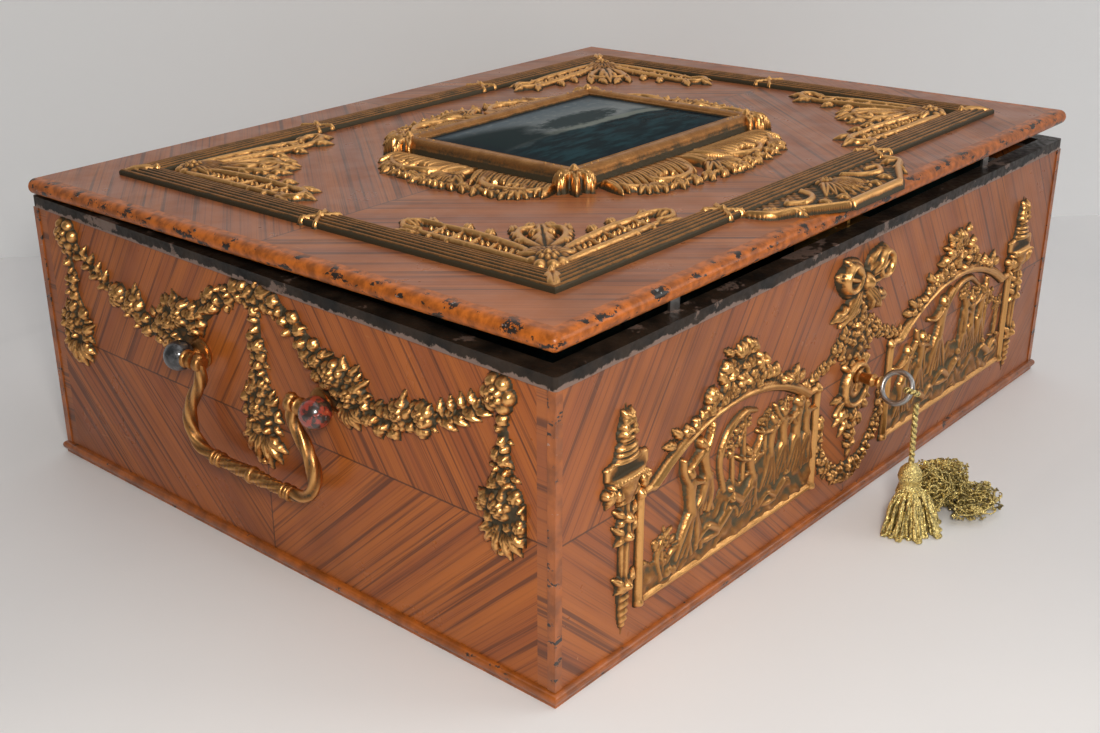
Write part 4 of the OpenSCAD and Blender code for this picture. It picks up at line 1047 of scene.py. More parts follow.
# The heap of loose thread: middle and half size of each of its three lobes
HEAP_LOBES = np.array([[11, -1, 10.5], [25, -3, 8.5], [25, -15, 5.2]])
HEAP_SPREADS = np.array([[10, 9.5, 10.0], [12, 10, 8.2], [13, 9.5, 4.9]])
HEAP_THREADS = 220


class CASKET_OT_cord(CasketOperator, bpy.types.Operator):
    """Two-ply gold cord that hangs from the key ring, and the loop of it round the ring"""

    bl_idname = "casket.cord"
    bl_label = "Key cord"

    def build(self):
        thread = finish("gold_thread", gold_thread, metals())
        low, high = corners("key_cord")
        middle = (low + high) / 2
        loop = corners("cord_loop")
        knots = [(x, middle[1], z) for x, z in CORD_DROP]
        route = smooth_path(knots, 33)
        points, faces, high_points = tube(smooth_path(knots, 150), 1.02, 16, 2, 0.16, 2.6)
        cord = make_piece("cord_drop", points, faces, thread, "root", 180.0,
                          {"relief": high_points})
        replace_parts(cord, "key_cord")
        a = np.linspace(0, TAU, 90, endpoint=False)
        centre = (loop[0] + loop[1]) / 2
        ring = np.stack([np.cos(a), np.sin(a), np.zeros_like(a)], axis=1) * 2.2
        turn = tilted(KEY_LEAN)
        points, faces, high_points = closed_tube(ring @ turn.T + centre, 0.98, 14, 2, 0.16, 10)
        loop_piece = make_piece("cord_round_ring", points, faces, thread, "turning_key",
                                180.0, {"relief": high_points})
        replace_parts(loop_piece, "cord_loop")


def closed_tube(path, radius, around, flutes, depth, winds):
    """A tube along a closed ring of points, its flutes winding a whole number of times round the ring."""
    tangent = np.roll(path, -1, 0) - np.roll(path, 1, 0)
    tangent /= np.linalg.norm(tangent, axis=1)[:, None]
    inward = path.mean(0) - path
    inward /= np.linalg.norm(inward, axis=1)[:, None]
    other = np.cross(tangent, inward)
    a = np.arange(around) * TAU / around
    share = np.arange(len(path)) / len(path)
    wave = np.cos(flutes * a[None, :] + winds * TAU * share[:, None])
    r = radius * (1 + depth * wave)
    points = path[:, None] + inward[:, None] * (r * np.cos(a))[..., None]
    points = points + other[:, None] * (r * np.sin(a))[..., None]
    faces = grid_faces(len(path), around, close_rows=True, close_columns=True)
    return points.reshape(-1, 3), faces[:, ::-1], (0.55 + 0.35 * wave).ravel()


class CASKET_OT_tassel(CasketOperator, bpy.types.Operator):
    """Tassel: a bound head, a fan of twisted bullion strands and a heap of loose crimped thread"""

    bl_idname = "casket.tassel"
    bl_label = "Tassel"

    def build(self):
        thread = finish("gold_thread", gold_thread, metals())
        low, high = corners("key_cord")
        self.middle = np.array([1.2, (low[1] + high[1]) / 2])
        for name, shape in (("tassel_head", self.head()), ("tassel_skirt", self.skirt()),
                            ("tassel_threads", self.heap())):
            points, faces, high = shape
            made = make_piece(name, points, faces, thread, "root", 180.0, {"relief": high})
            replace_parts(made, "tassel")

    def head(self):
        """Wound head: a turned profile whose radius carries the windings, r + 0.17 |sin(pi z / 0.9)|."""
        t = np.linspace(0, 1, 70)
        z = 12.0 + 13.4 * t
        body = np.interp(t, [0, 0.12, 0.30, 0.42, 0.50, 0.60, 0.80, 0.93, 1.0],
                         [4.4, 4.5, 3.9, 3.5, 4.0, 4.4, 3.8, 2.4, 1.2])
        body = body + 0.17 * np.abs(np.sin(math.pi * z / 0.9))
        centre = (self.middle[0], self.middle[1], 0)
        return joined([turned(np.stack([z, body], axis=1), centre, (0, 0, 1), 28)])

    def skirt(self):
        """Bullion loops: strands that leave the head, fall outwards and turn under at the table."""
        rng = mixed(5)
        radius = metals().strand / MM / 2
        parts = []
        for k in range(46):
            a = math.radians(rng.uniform(150, 335))
            reach = rng.uniform(9, 13.5) if k % 2 else rng.uniform(5, 10)
            start = np.array([self.middle[0] + 3.1 * math.cos(a), self.middle[1] + 3.1 * math.sin(a), 15.5])
            end = np.array([self.middle[0] - 1.5 + reach * math.cos(a) * 0.95,
                            self.middle[1] - 1.0 + reach * math.sin(a), radius + 0.05])
            mid = (start + end) / 2 + np.array([0.9 * math.cos(a), 0.9 * math.sin(a), 2.6])
            tip = end + np.array([math.cos(a + 0.9), math.sin(a + 0.9), 0]) * 1.5
            back = end + np.array([math.cos(a + 1.8), math.sin(a + 1.8), 0]) * 1.7 + np.array([0, 0, 0.8])
            rise = (start + back) / 2 + np.array([math.cos(a + 1.57), math.sin(a + 1.57), 0]) * 0.9
            path = smooth_path([start, mid, end, tip, back, rise + [0, 0, 1.0]], 44)
            path[:, 2] = np.maximum(path[:, 2], radius * 1.18)
            parts.append(tube(path, radius, 8, 2, 0.2, 5.2))
        return joined(parts)

    def heap(self):
        """Loose threads: each is a slow loop plus a fine crimp, held inside a low mound beside the head."""
        rng = mixed(11)
        parts = []
        t = np.linspace(0, 1, 96)
        for k in range(HEAP_THREADS):
            lobe = rng.integers(0, 3)
            centre = HEAP_LOBES[lobe] + [self.middle[0], self.middle[1], 0]
            spread = HEAP_SPREADS[lobe]
            waves = rng.normal(0, 1, (3, 3)) * np.array([0.55, 0.30, 0.16])[:, None]
            phase = rng.uniform(0, TAU, (3, 3))
            speed = np.array([1.0, 2.0, 3.4])[:, None, None]
            swing = np.sum(waves[..., None] * np.cos(speed * math.pi * t[None, None] + phase[..., None]),
                           axis=0)
            offset = rng.normal(0, 0.36, 3)
            drift = swing.T + offset
            path = centre + drift / np.cbrt(1 + np.linalg.norm(drift, axis=1) ** 3)[:, None] * 1.15 * spread
            crimp = 0.42 * np.stack([np.cos(46 * t + k), np.sin(46 * t + k), np.cos(39 * t + 2 * k)],
                                    axis=1)
            path = path + crimp
            cap = 21.5 - 0.022 * np.sum((path[:, :2] - centre[:2]) ** 2, axis=1)
            path[:, 2] = np.clip(path[:, 2], 0.45, np.maximum(cap, 0.5))
            points, faces, high = tube(path, 0.27, 4)
            parts.append((points, faces, high * rng.uniform(0.5, 1.4)))
        return joined(parts)


# ---- case ---------------------------------------------------------------------------------------


def swept_frame(outline, profile, rise):
    """A moulding round a rectangle, mitred at its corners.

    outline gives the half sizes at offset 0; the profile's points are (offset outwards, height), closed in a
    ring. Corner k is (sx (a + o), sy (b + o)) for each profile point's offset o.
    """
    signs = np.array([(-1, -1), (1, -1), (1, 1), (-1, 1)], float)
    offset, height = profile[:, 0], profile[:, 1]
    x = signs[:, 0, None] * (outline[0] + offset[None])
    y = signs[:, 1, None] * (outline[1] + offset[None])
    points = np.stack([x, y, np.broadcast_to(height + rise, x.shape)], axis=-1)
    return points, grid_faces(4, len(profile), close_rows=True, close_columns=True)


class CASKET_OT_case(CasketOperator, bpy.types.Operator):
    """Veneered walls, lacquered foot bead and corner strips, patinated rim, guides and the bottom board"""

    bl_idname = "casket.case"
    bl_label = "Case"

    def build(self):
        steep, shallow = math.radians(57), math.radians(43)
        middle = MID_Z * MM
        front = finish("veneer_front", veneer, 0, 2, middle, wood(), steep, shallow, 0.12)
        end = finish("veneer_end", veneer, 1, 2, middle, wood(), steep, shallow)
        paint_nodes(front, "front_wall", "back_wall")
        paint_nodes(end, "left_wall", "right_wall")
        orange = finish("edge_lacquer", lacquer, wood(), 0.56)
        paint_nodes(orange, "corner_edgings")
        paint_nodes(finish("rim_metal", rim_metal), "top_rim")
        paint_nodes(steel(), "lid_guides")
        paint_nodes(finish("shellac_softwood", softwood), "base_board", "compartment_wall", "cover_frame")
        self.foot_bead()

    def foot_bead(self):
        """Half-round bead with a thin fillet under it: offset and height trace a half circle."""
        a = np.linspace(-math.pi / 2, math.pi / 2, 16)
        r = FOOT_H * 0.40
        bead = np.stack([2.05 * np.cos(a), FOOT_H - r + r * np.sin(a)], axis=1)
        fillet = np.array([[-0.4, 0.0], [0.9, 0.0], [0.9, FOOT_H - 2 * r]])
        back = np.array([[-0.4, FOOT_H]])
        profile = np.vstack([fillet, bead, back])
        points, faces = swept_frame((HALF_W, HALF_D), profile, 0)
        tint = finish("foot_lacquer", lacquer, wood(), 0.60)
        bead = make_piece("foot_bead", points, faces, tint, "root", 45)
        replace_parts(bead, "base_moulding")


class CASKET_OT_hinges(CasketOperator, bpy.types.Operator):
    """Brass butt hinges with steel screws at the back"""

    bl_idname = "casket.hinges"
    bl_label = "Hinges"

    def build(self):
        paint_nodes(brass(), "case_hinge_leaves", "lid_hinge_leaves", "hinge_pins")
        paint_nodes(steel(), "hinge_screws")


# ---- front mounts -------------------------------------------------------------------------------


FRONT_LOW, FRONT_HIGH = corners("front_panel_right")
PANEL_IN, PANEL_OUT = FRONT_LOW[0], FRONT_HIGH[0]
PANEL_Z0 = FRONT_LOW[2]
SPRING_Z = PANEL_Z0 + 41.5
ARCH_RISE = 15.0
ARCH_STEP = 7.0
TORCH_X = float(corners("torch_mounts")[1][0] - 9.6)
ARCH_HALF = (PANEL_OUT - PANEL_IN) / 2 - ARCH_STEP
ARCH_R = (ARCH_HALF ** 2 + ARCH_RISE ** 2) / (2 * ARCH_RISE)
PANEL_MID = (PANEL_IN + PANEL_OUT) / 2


def arch_point(x, lift=0.0):
    """A point on the arch's line at a distance x from its middle, raised outwards by lift."""
    a = math.asin(x / ARCH_R)
    return (PANEL_MID + (ARCH_R + lift) * math.sin(a),
            SPRING_Z + ARCH_RISE - ARCH_R + (ARCH_R + lift) * math.cos(a))


class CASKET_OT_front_panels(CasketOperator, bpy.types.Operator):
    """Arched frames with a reeded arch and a crest of blossoms, left and right"""

    bl_idname = "casket.front_panels"
    bl_label = "Front panels"

    def build(self):
        for side, seed in (("right", 21), ("left", 34)):
            carved = self.carve(mixed(seed))
            carved = carved if side == "right" else carved.mirrored()
            piece = cast(f"arched_frame_{side}", carved, on_front, gilt(), "root")
            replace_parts(piece, f"front_panel_{side}")

    def carve(self, rng):
        c = Carving((PANEL_IN - 2, PANEL_Z0 - 2), (PANEL_OUT + 4, FRONT_HIGH[2] + 4), metals().grain / MM)
        left, right = PANEL_IN + 1.5, PANEL_OUT - 1.5
        base = PANEL_Z0 + 1.5
        c.stroke([(left, base), (right, base)], 1.6, 2.0, ribs=2, square=True)
        for x in (left, right):
            c.stroke([(x, base), (x, SPRING_Z)], 1.6, 2.6, ribs=2, square=True)
        step = ARCH_STEP
        for x0, x1 in ((left, left + step), (right - step, right)):
            c.stroke([(x0, SPRING_Z - 0.6), (x1, SPRING_Z - 0.6)], 1.5, 2.4, ribs=2, square=True)
        spread = np.linspace(-ARCH_HALF + 0.6, ARCH_HALF - 0.6, 13)
        c.stroke([arch_point(x, -1.2) for x in spread], 1.9, 3.0, ribs=2, square=True)
        for x in (left, right):
            c.ball(x, base, 1.9, 2.9)
            c.ball(x, SPRING_Z - 0.6, 1.8, 3.0)
        self.crest(c, rng)
        return c.soften()

    def crest(self, c, rng):
        """Blossoms along the top of the arch: their mound is 2.6 + 15 exp(-((x + 1) / 13.5)^2) high."""
        for x in np.arange(-34, 31, 2.5):
            tall = 2.6 + 15.0 * math.exp(-((x + 1) / 13.5) ** 2)
            if x > 18:
                tall *= 0.8
            for lift in np.arange(1.2, tall, 2.8):
                px, pz = arch_point(x + rng.uniform(-1.0, 1.0), lift + rng.uniform(-0.5, 0.5))
                r = rng.uniform(1.7, 2.8)
                kind = rng.integers(0, 5)
                height = rng.uniform(2.2, 3.9)
                if kind == 0:
                    c.rose(px, pz, r * 1.25, height, 5, rng.uniform(0, 72))
                elif kind < 3:
                    c.leaf(px, pz, 90 - x * 1.6 + rng.uniform(-60, 60), r * 2.1, r * 1.25, height, lobes=3)
                elif kind == 3:
                    c.flower(px, pz, r * 1.15, height, 5, rng.uniform(0, 72))
                else:
                    c.ball(px, pz, r * 0.62, height * 1.05)
        for x, turn in ((-36, 165), (-33, 140), (33, 12), (30, 42)):
            px, pz = arch_point(x, 1.2)
            c.leaf(px, pz, turn, 7.0, 3.8, 2.4, lobes=4)
        for turn in (40, 65, 90, 115, 140):
            px, pz = arch_point(-1, 13.0)
            c.leaf(px, pz, turn, 5.6, 3.2, 3.2, lobes=3)


def dancer(c, x, z, tall, lean, raised, lowered, rng, top=2.6):
    """A small draped figure: head, chest, two arms, and a skirt of folds that fans to the feet."""
    hip = np.array([x, z + tall * 0.48])
    neck = hip + np.array([math.sin(lean), math.cos(lean)]) * tall * 0.33
    head = neck + np.array([math.sin(lean * 1.3), math.cos(lean * 1.3)]) * tall * 0.115
    c.stroke([hip, (hip + neck) / 2 + [0.3, 0], neck], [tall * 0.072, tall * 0.058, tall * 0.088],
             [top, top * 0.95, top])
    for turn, reach in ((raised, 0.30), (lowered, 0.27)):
        shoulder = neck + np.array([math.cos(math.radians(turn)), 0]) * tall * 0.06
        elbow = shoulder + np.array([math.cos(math.radians(turn)),
                                     math.sin(math.radians(turn))]) * tall * reach * 0.55
        bent = math.radians(turn + rng.uniform(-35, 35))
        hand = elbow + np.array([math.cos(bent), math.sin(bent)]) * tall * reach * 0.5
        c.stroke([shoulder, elbow, hand], [tall * 0.038, tall * 0.03, tall * 0.024],
                 [top, top * 0.95, top * 0.85])
    for k, spread in enumerate(np.linspace(-0.20, 0.20, 6)):
        foot = np.array([x + spread * tall * 1.05 + lean * tall * 0.25, z + rng.uniform(0, 0.07) * tall])
        knee = (hip + foot) / 2 + [rng.uniform(-0.05, 0.05) * tall, 0]
        c.stroke([hip + [spread * tall * 0.22, 0], knee, foot], [tall * 0.052, tall * 0.05, tall * 0.036],
                 [top * 0.9, top * (0.72 + 0.12 * (k % 2)), top * 0.6])
    c.ball(head[0], head[1], tall * 0.062, top * 1.12)
    c.ball(head[0] + tall * 0.012, head[1] + tall * 0.028, tall * 0.062, top * 1.02)
    return head


def resting(c, x, z, long, facing, top=2.4):
    """A figure lying on the ground: propped chest, hip, bent knee and drapery, facing right or left."""
    s = facing
    hip = np.array([x, z + 2.4])
    chest = hip + [s * long * 0.28, long * 0.20]
    head = chest + [s * long * 0.07, long * 0.16]
    knee = hip + [-s * long * 0.30, long * 0.16]
    foot = hip + [-s * long * 0.56, -1.0]
    c.stroke([hip, chest], [long * 0.11, long * 0.10], [top, top * 1.05])
    c.stroke([hip, knee, foot], [long * 0.10, long * 0.07, long * 0.04], [top, top * 1.05, top * 0.7])
    c.stroke([hip + [0, -1.5], hip + [-s * long * 0.3, -1.6], foot + [s, 0.4]],
             [long * 0.09, long * 0.065, long * 0.03], [top * 0.85, top * 0.8, top * 0.55])
    c.stroke([chest + [0, 0.6], chest + [s * long * 0.2, -long * 0.04],
              chest + [s * long * 0.26, -long * 0.2]],
             [long * 0.05, long * 0.04, long * 0.03], [top, top * 0.9, top * 0.8])
    c.ball(head[0], head[1], long * 0.075, top * 1.15)


def tree(c, x, z0, z1, spread, rng, top=2.0):
    """A leaning trunk with a crown of small leaf clumps."""
    lean = rng.uniform(-2, 2)
    c.stroke([(x, z0), (x + lean * 0.3, (z0 + z1) / 2), (x + lean, z1)], [1.1, 0.8, 0.6],
             [top * 0.8, top * 0.8, top * 0.6])
    for _ in range(int(spread * 5)):
        a, d = rng.uniform(0, TAU), math.sqrt(rng.uniform(0, 1))
        px, pz = x + lean + spread * d * math.cos(a), z1 + spread * 0.7 * d * math.sin(a)
        c.leaf(px, pz, rng.uniform(0, 360), rng.uniform(1.6, 2.8), rng.uniform(1.1, 1.8),
               top * rng.uniform(0.6, 1.05), lobes=2)


class CASKET_OT_front_reliefs(CasketOperator, bpy.types.Operator):
    """Low reliefs inside the frames: draped dancers, resting figures, trees and broken ground"""

    bl_idname = "casket.front_reliefs"
    bl_label = "Figure reliefs"

    def build(self):
        dim = finish("relief_bronze", bronze, metals(), gilding=0.55, tarnish=-0.02, hollow=1.9)
        for side in ("left", "right"):
            carved = self.carve(side)
            piece = cast(f"figure_relief_{side}", carved, on_front, dim, "root")
            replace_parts(piece, f"front_relief_{side}")

    def ground(self, c, rng, sign):
        """Rolling ground: its top edge is a sum of three sines, and ridges follow it."""
        u, v = np.meshgrid(c.u, c.v)
        run = sign * u
        skyline = 36 + 2.2 * np.sin(run * 0.13) + 1.6 * np.sin(run * 0.31 + 1) + 0.8 * np.sin(run * 0.9)
        skyline += 8 * np.exp(-((run - 52) / 22) ** 2) + 5.5 * np.exp(-((run - 82) / 10) ** 2)
        skyline -= 9 * np.exp(-((run - 118) / 10) ** 2)
        ridges = 0.32 * np.sin(0.9 * (skyline - v) + 0.12 * run) + 0.22 * np.sin(0.33 * run + 0.7 * v)
        depth = 0.95 + ridges + 0.2 * np.sin(run * 0.7) * np.sin(v * 0.9)
        c.h = np.where(v < skyline, np.maximum(c.h, np.clip(depth, 0.35, 2)), c.h)
        for _ in range(46):
            x = rng.uniform(c.u[0] + 3, c.u[-1] - 3)
            z = rng.uniform(21, 35)
            turn = rng.uniform(-30, 30) + (0 if rng.random() < 0.5 else 180)
            c.leaf(x, z, turn, rng.uniform(3, 7), rng.uniform(1.2, 2.2), rng.uniform(1.2, 1.9))

    def carve(self, side):
        sign = -1 if side == "left" else 1
        low = (PANEL_IN + 2.6, PANEL_Z0 + 2.4)
        high = (PANEL_OUT - 2.6, SPRING_Z + ARCH_RISE - 4)
        c = Carving(low, high, metals().grain / MM)
        rng = mixed(7 if side == "left" else 19)
        self.ground(c, rng, 1)
        if side == "left":
            self.left_scene(c, rng)
            c = c.mirrored()
        else:
            self.right_scene(c, rng)
        self.trim(c, sign)
        return c.soften()

    def left_scene(self, c, rng):
        """u here runs from the middle of the front outwards."""
        for x, z0, z1, spread in ((79, 38, 56, 6.5), (73, 40, 62, 4.0), (60, 40, 57, 5.0),
                                  (38, 38, 56, 5.5), (48, 40, 58, 4.5), (118, 22, 35, 4.5)):
            tree(c, x, z0, z1, spread, rng)
        c.stroke([(84, 40), (87, 52), (83, 61), (74, 65), (66, 63)], [1.4, 1.2, 1.5, 1.3, 0.8],
                 [1.6, 1.7, 2.0, 1.8, 1.2])
        dancer(c, 103, 23, 34, 0.10, 60, 200, rng, 3.0)
        dancer(c, 95, 36, 30, 0.28, 120, -30, rng, 3.2)
        dancer(c, 57, 30, 28, -0.12, 150, 10, rng, 2.6)
        dancer(c, 48, 31, 28, 0.10, 50, 200, rng, 2.6)
        dancer(c, 40, 30, 29, -0.05, 110, -20, rng, 2.7)
        dancer(c, 33, 29, 28, 0.12, 70, 190, rng, 2.7)
        dancer(c, 67, 26, 26, 0.30, 140, 20, rng, 2.8)
        resting(c, 88, 25, 22, -1, 2.9)
        resting(c, 74, 30, 19, 1, 2.6)
        resting(c, 52, 23, 18, -1, 2.2)
        c.leaf(110, 21, 30, 9, 4.0, 3.0, lobes=3)
        c.ball(116, 23, 2.2, 2.6)
        c.stroke([(119, 22), (121, 30), (118, 36), (113, 38)], [1.2, 1.0, 0.8, 0.6], [1.9, 1.8, 1.6, 1.2])

    def right_scene(self, c, rng):
        for x, z0, z1, spread in ((88, 40, 62, 5.0), (97, 40, 58, 6.0), (110, 36, 52, 6.0),
                                  (45, 34, 46, 4.5), (122, 34, 47, 4.0), (57, 36, 50, 4.0)):
            tree(c, x, z0, z1, spread, rng)
        c.stroke([(70, 44), (72, 58), (80, 66), (92, 67), (101, 62)], [1.2, 1.1, 1.4, 1.3, 0.8],
                 [1.6, 1.7, 2.0, 1.8, 1.2])
        dancer(c, 66, 33, 33, 0.16, 60, 200, rng, 3.1)
        dancer(c, 51, 27, 28, 0.12, 130, -20, rng, 2.8)
        dancer(c, 38, 24, 29, 0.22, 40, 200, rng, 2.9)
        dancer(c, 96, 32, 27, -0.10, 140, 20, rng, 2.8)
        dancer(c, 104, 33, 27, 0.08, 60, 190, rng, 2.7)
        dancer(c, 90, 30, 28, 0.0, 100, -30, rng, 2.6)
        resting(c, 78, 26, 22, 1, 2.8)
        resting(c, 116, 25, 18, -1, 2.6)
        resting(c, 58, 23, 17, -1, 2.3)

    def trim(self, c, sign):
        """Keeps the relief under the arch."""
        u, v = np.meshgrid(c.u * sign, c.v)
        reach = ARCH_R - 2.4
        rise = SPRING_Z + ARCH_RISE - ARCH_R
        outside = (np.hypot(u - PANEL_MID, v - rise) > reach) & (v > SPRING_Z - 1)
        c.h = np.where(outside, 0, c.h)


class CASKET_OT_torches(CasketOperator, bpy.types.Operator):
    """Torch shaped pilasters at the ends of the front"""

    bl_idname = "casket.torches"
    bl_label = "Torches"

    def build(self):
        carved = self.carve()
        for side, sign in (("right", 1), ("left", -1)):
            shaped = carved if sign > 0 else carved.mirrored()
            shaped.u = shaped.u + sign * TORCH_X
            piece = cast(f"torch_{side}", shaped, on_front, gilt(), "root")
            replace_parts(piece, "torch_mounts")
            carved = self.carve()

    def carve(self):
        """Half-round body of radius r(z), with reeds cos(n asin(u / r)), bands, a beaded cap and a flame."""
        c = Carving((-13, 10), (13, 91), metals().grain / MM)
        u, v = np.meshgrid(c.u, c.v)
        z = [12, 13.5, 16, 27, 29, 31, 45, 47, 58, 61, 65, 67, 68, 72.5, 73.5, 75, 78, 79, 81, 84, 87, 89]
        r = [0.3, 1.4, 2.2, 3.0, 3.8, 2.4, 2.7, 3.6, 2.6, 3.4, 5.2, 8.8, 9.8, 10.4, 6.0, 5.2, 4.6, 3.2,
             4.2, 3.9, 2.2, 0.3]
        radius = np.interp(v, z, r)
        x = np.clip(u / radius, -1, 1)
        body = np.minimum(radius, 4.4) * np.sqrt(1 - x ** 2)
        body = np.where((v > 68.2) & (v < 73.0), 1.5 + 0.5 * np.abs(x), body)
        reed = np.where((v > 31) & (v < 58), 0.86 + 0.14 * np.cos(7 * np.arcsin(x)), 1.0)
        husk = np.where(v < 27, 0.82 + 0.18 * np.cos(v * 2.3 + 2.4 * np.abs(x)), 1.0)
        gadroon = np.where((v > 73.2) & (v < 78.5), 0.80 + 0.20 * np.cos(v * 3.4 + 1.6 * x), 1.0)
        flame = np.where(v > 79, 0.74 + 0.26 * np.cos(v * 2.6 + 2.8 * np.abs(x) - 2), 1.0)
        c.h = np.where(np.abs(u) < radius, body * reed * husk * gadroon * flame * 0.9, 0)
        for k in np.arange(-8.4, 8.5, 1.4):
            c.ball(k, 67.4 - 0.012 * k * k, 0.72, 5.0)
        for sign in (-1, 1):
            c.leaf(sign * 7.4, 66.5, 270 + sign * 12, 8.0, 4.2, 3.6, lobes=3)
            c.leaf(sign * 4.2, 64.5, 270 - sign * 4, 6.2, 3.4, 3.4, lobes=3)
            c.ball(sign * 9.8, 64.0, 1.7, 3.2)
            for z0, reach in ((29, 4.4), (47, 5.2), (53, 4.6), (60, 4.0)):
                c.leaf(sign * 0.8, z0, 90 - sign * 52, reach + 1.6, 2.8, 3.2, lobes=2)
                c.leaf(sign * 0.8, z0, 270 + sign * 50, reach, 2.4, 2.8, lobes=2)
        for z0 in (29, 46.5, 53):
            c.ball(0, z0, 2.0, 4.4)
            c.flower(0, z0, 3.0, 4.0, 6, 15)
        for k, z0 in enumerate((80.5, 82.5, 84.5, 86.4)):
            for sign in (-1, 1):
                c.leaf(sign * (1.6 - 0.3 * k), z0, 90 - sign * 24, 3.6, 2.2, 4.2 - 0.3 * k)
        c.leaf(0, 84.5, 90, 5.0, 2.6, 4.2)
        return c.soften()


class CASKET_OT_centre_mounts(CasketOperator, bpy.types.Operator):
    """Ribbon bow with its hanging blossoms, the keyhole trophy and the laurel swag under it"""

    bl_idname = "casket.centre_mounts"
    bl_label = "Bow, keyhole mount and laurel"

    def build(self):
        for name, carve, node in (("bow_and_blossoms", self.bow, "ribbon_bow"),
                                  ("keyhole_trophy", self.trophy, "escutcheon"),
                                  ("laurel", self.laurel, "laurel_swag")):
            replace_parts(cast(name, carve(), on_front, gilt(), "root"), node)

    def bow(self):
        c = Carving((-38, 53), (38, 104), metals().grain / MM)
        rng = mixed(3)
        for sign, grow in ((-1, 1.0), (1, 0.94)):
            c.leaf(sign * 1.5, 92, 90 - sign * 72, 19 * grow, 15, 4.6, ribs=4, base=0.5)
            c.leaf(sign * 3.0, 93, 90 - sign * 50, 15 * grow, 9, 5.4, ribs=2, base=0.5)
            c.ring(sign * 11.5, 95.5, 4.6, 1.5, 5.2)
            c.leaf(sign * 1.5, 89, 270 + sign * 48, 18, 6.8, 3.8, ribs=3, base=0.55)
            c.leaf(sign * 7.5, 83.5, 270 + sign * 76, 13, 6.2, 3.0, lobes=3)
            c.leaf(sign * 5.0, 85, 270 + sign * 20, 8, 4.2, 3.4, ribs=2, base=0.5)
        c.ball(0, 91.5, 3.7, 5.6)
        c.leaf(0, 88.5, 90, 6.5, 6.0, 6.2, ribs=2, base=0.6)
        for sign in (-1, 1):
            c.garland([(sign * 34, 61), (sign * 22, 64), (sign * 12, 70), (sign * 2, 80)],
                      [1.6, 2.0, 2.8, 2.2], 3.0, rng, 1.9, (1.0, 1.7))
        c.bouquet(0, 65.5, 12.5, 7.0, 15, 4.0, rng, (1.3, 2.4))
        c.garland([(0, 84), (0, 78), (0, 72)], [2.0, 2.8, 3.6], 3.8, rng, 2.0, (1.2, 2.0))
        return c.soften()

    def trophy(self):
        """A shallow drum with a raised hoop, crossed pipes behind it, and a leafy stem below."""
        c = Carving((-20, 18), (20, 62), metals().grain / MM)
        rng = mixed(12)
        z = KEY_AXIS[2] - 3.5
        for sign in (-1, 1):
            c.stroke([(sign * 12, z - 9), (-sign * 8, z + 9)], [0.9, 1.3], [2.0, 2.4])
            c.leaf(sign * 5, z - 8, 270 + sign * 52, 9.5, 4.6, 2.8, lobes=3)
            c.leaf(sign * 7, z - 3, 270 + sign * 88, 8.5, 3.8, 2.2, lobes=3)
            c.leaf(sign * 3.5, z - 12, 270 + sign * 30, 9.0, 3.6, 2.6, lobes=3)
        window, du, dv = c.near(0, z, 8.6)
        d = np.hypot(du, dv)
        c.lift(window, np.where(d < 8.4, 1.9 + 0.25 * np.cos(d * 1.5), 0))
        c.ring(0, z, 8.0, 1.3, 3.4)
        for k in range(20):
            a = TAU * k / 20
            c.ball(8.0 * math.cos(a), z + 8.0 * math.sin(a), 0.62, 3.9)
        c.stroke([(0, z - 8), (0.4, z - 18), (0, 21)], [1.6, 1.3, 0.8], [3.0, 2.8, 2.0], twist=2.2)
        for z0 in (24, 28, 32, 36):
            for sign in (-1, 1):
                c.leaf(0, z0, 90 - sign * 48, 5.2, 2.6, 2.8, lobes=2)
        c.bouquet(0, z - 11, 5.5, 3.4, 7, 3.6, rng, (1.1, 1.8))
        shank = 2.6
        window, du, dv = c.near(0, KEY_AXIS[2], 9)
        slot = (np.hypot(du, dv) < shank) | ((np.abs(du) < 1.0) & (dv < 0) & (dv > -6.5))
        c.h[window] = np.where(slot, 0, c.h[window])
        return c.soften()

    def laurel(self):
        """Two garlands of small leaves that meet in a berry cluster at the foot."""
        c = Carving((-26, 8), (26, 46), metals().grain / MM)
        rng = mixed(8)
        for sign in (-1, 1):
            knots = [(sign * 22.4, 43), (sign * 22.0, 32), (sign * 17, 22), (sign * 8, 15), (0, 13)]
            c.garland(knots, [1.6, 2.2, 3.0, 3.4, 3.6], 3.3, rng, 1.9, (1.0, 1.8))
        c.bouquet(0, 14.5, 6.5, 4.0, 9, 3.8, rng, (1.1, 1.9))
        return c.soften()


# ---- end mounts ---------------------------------------------------------------------------------


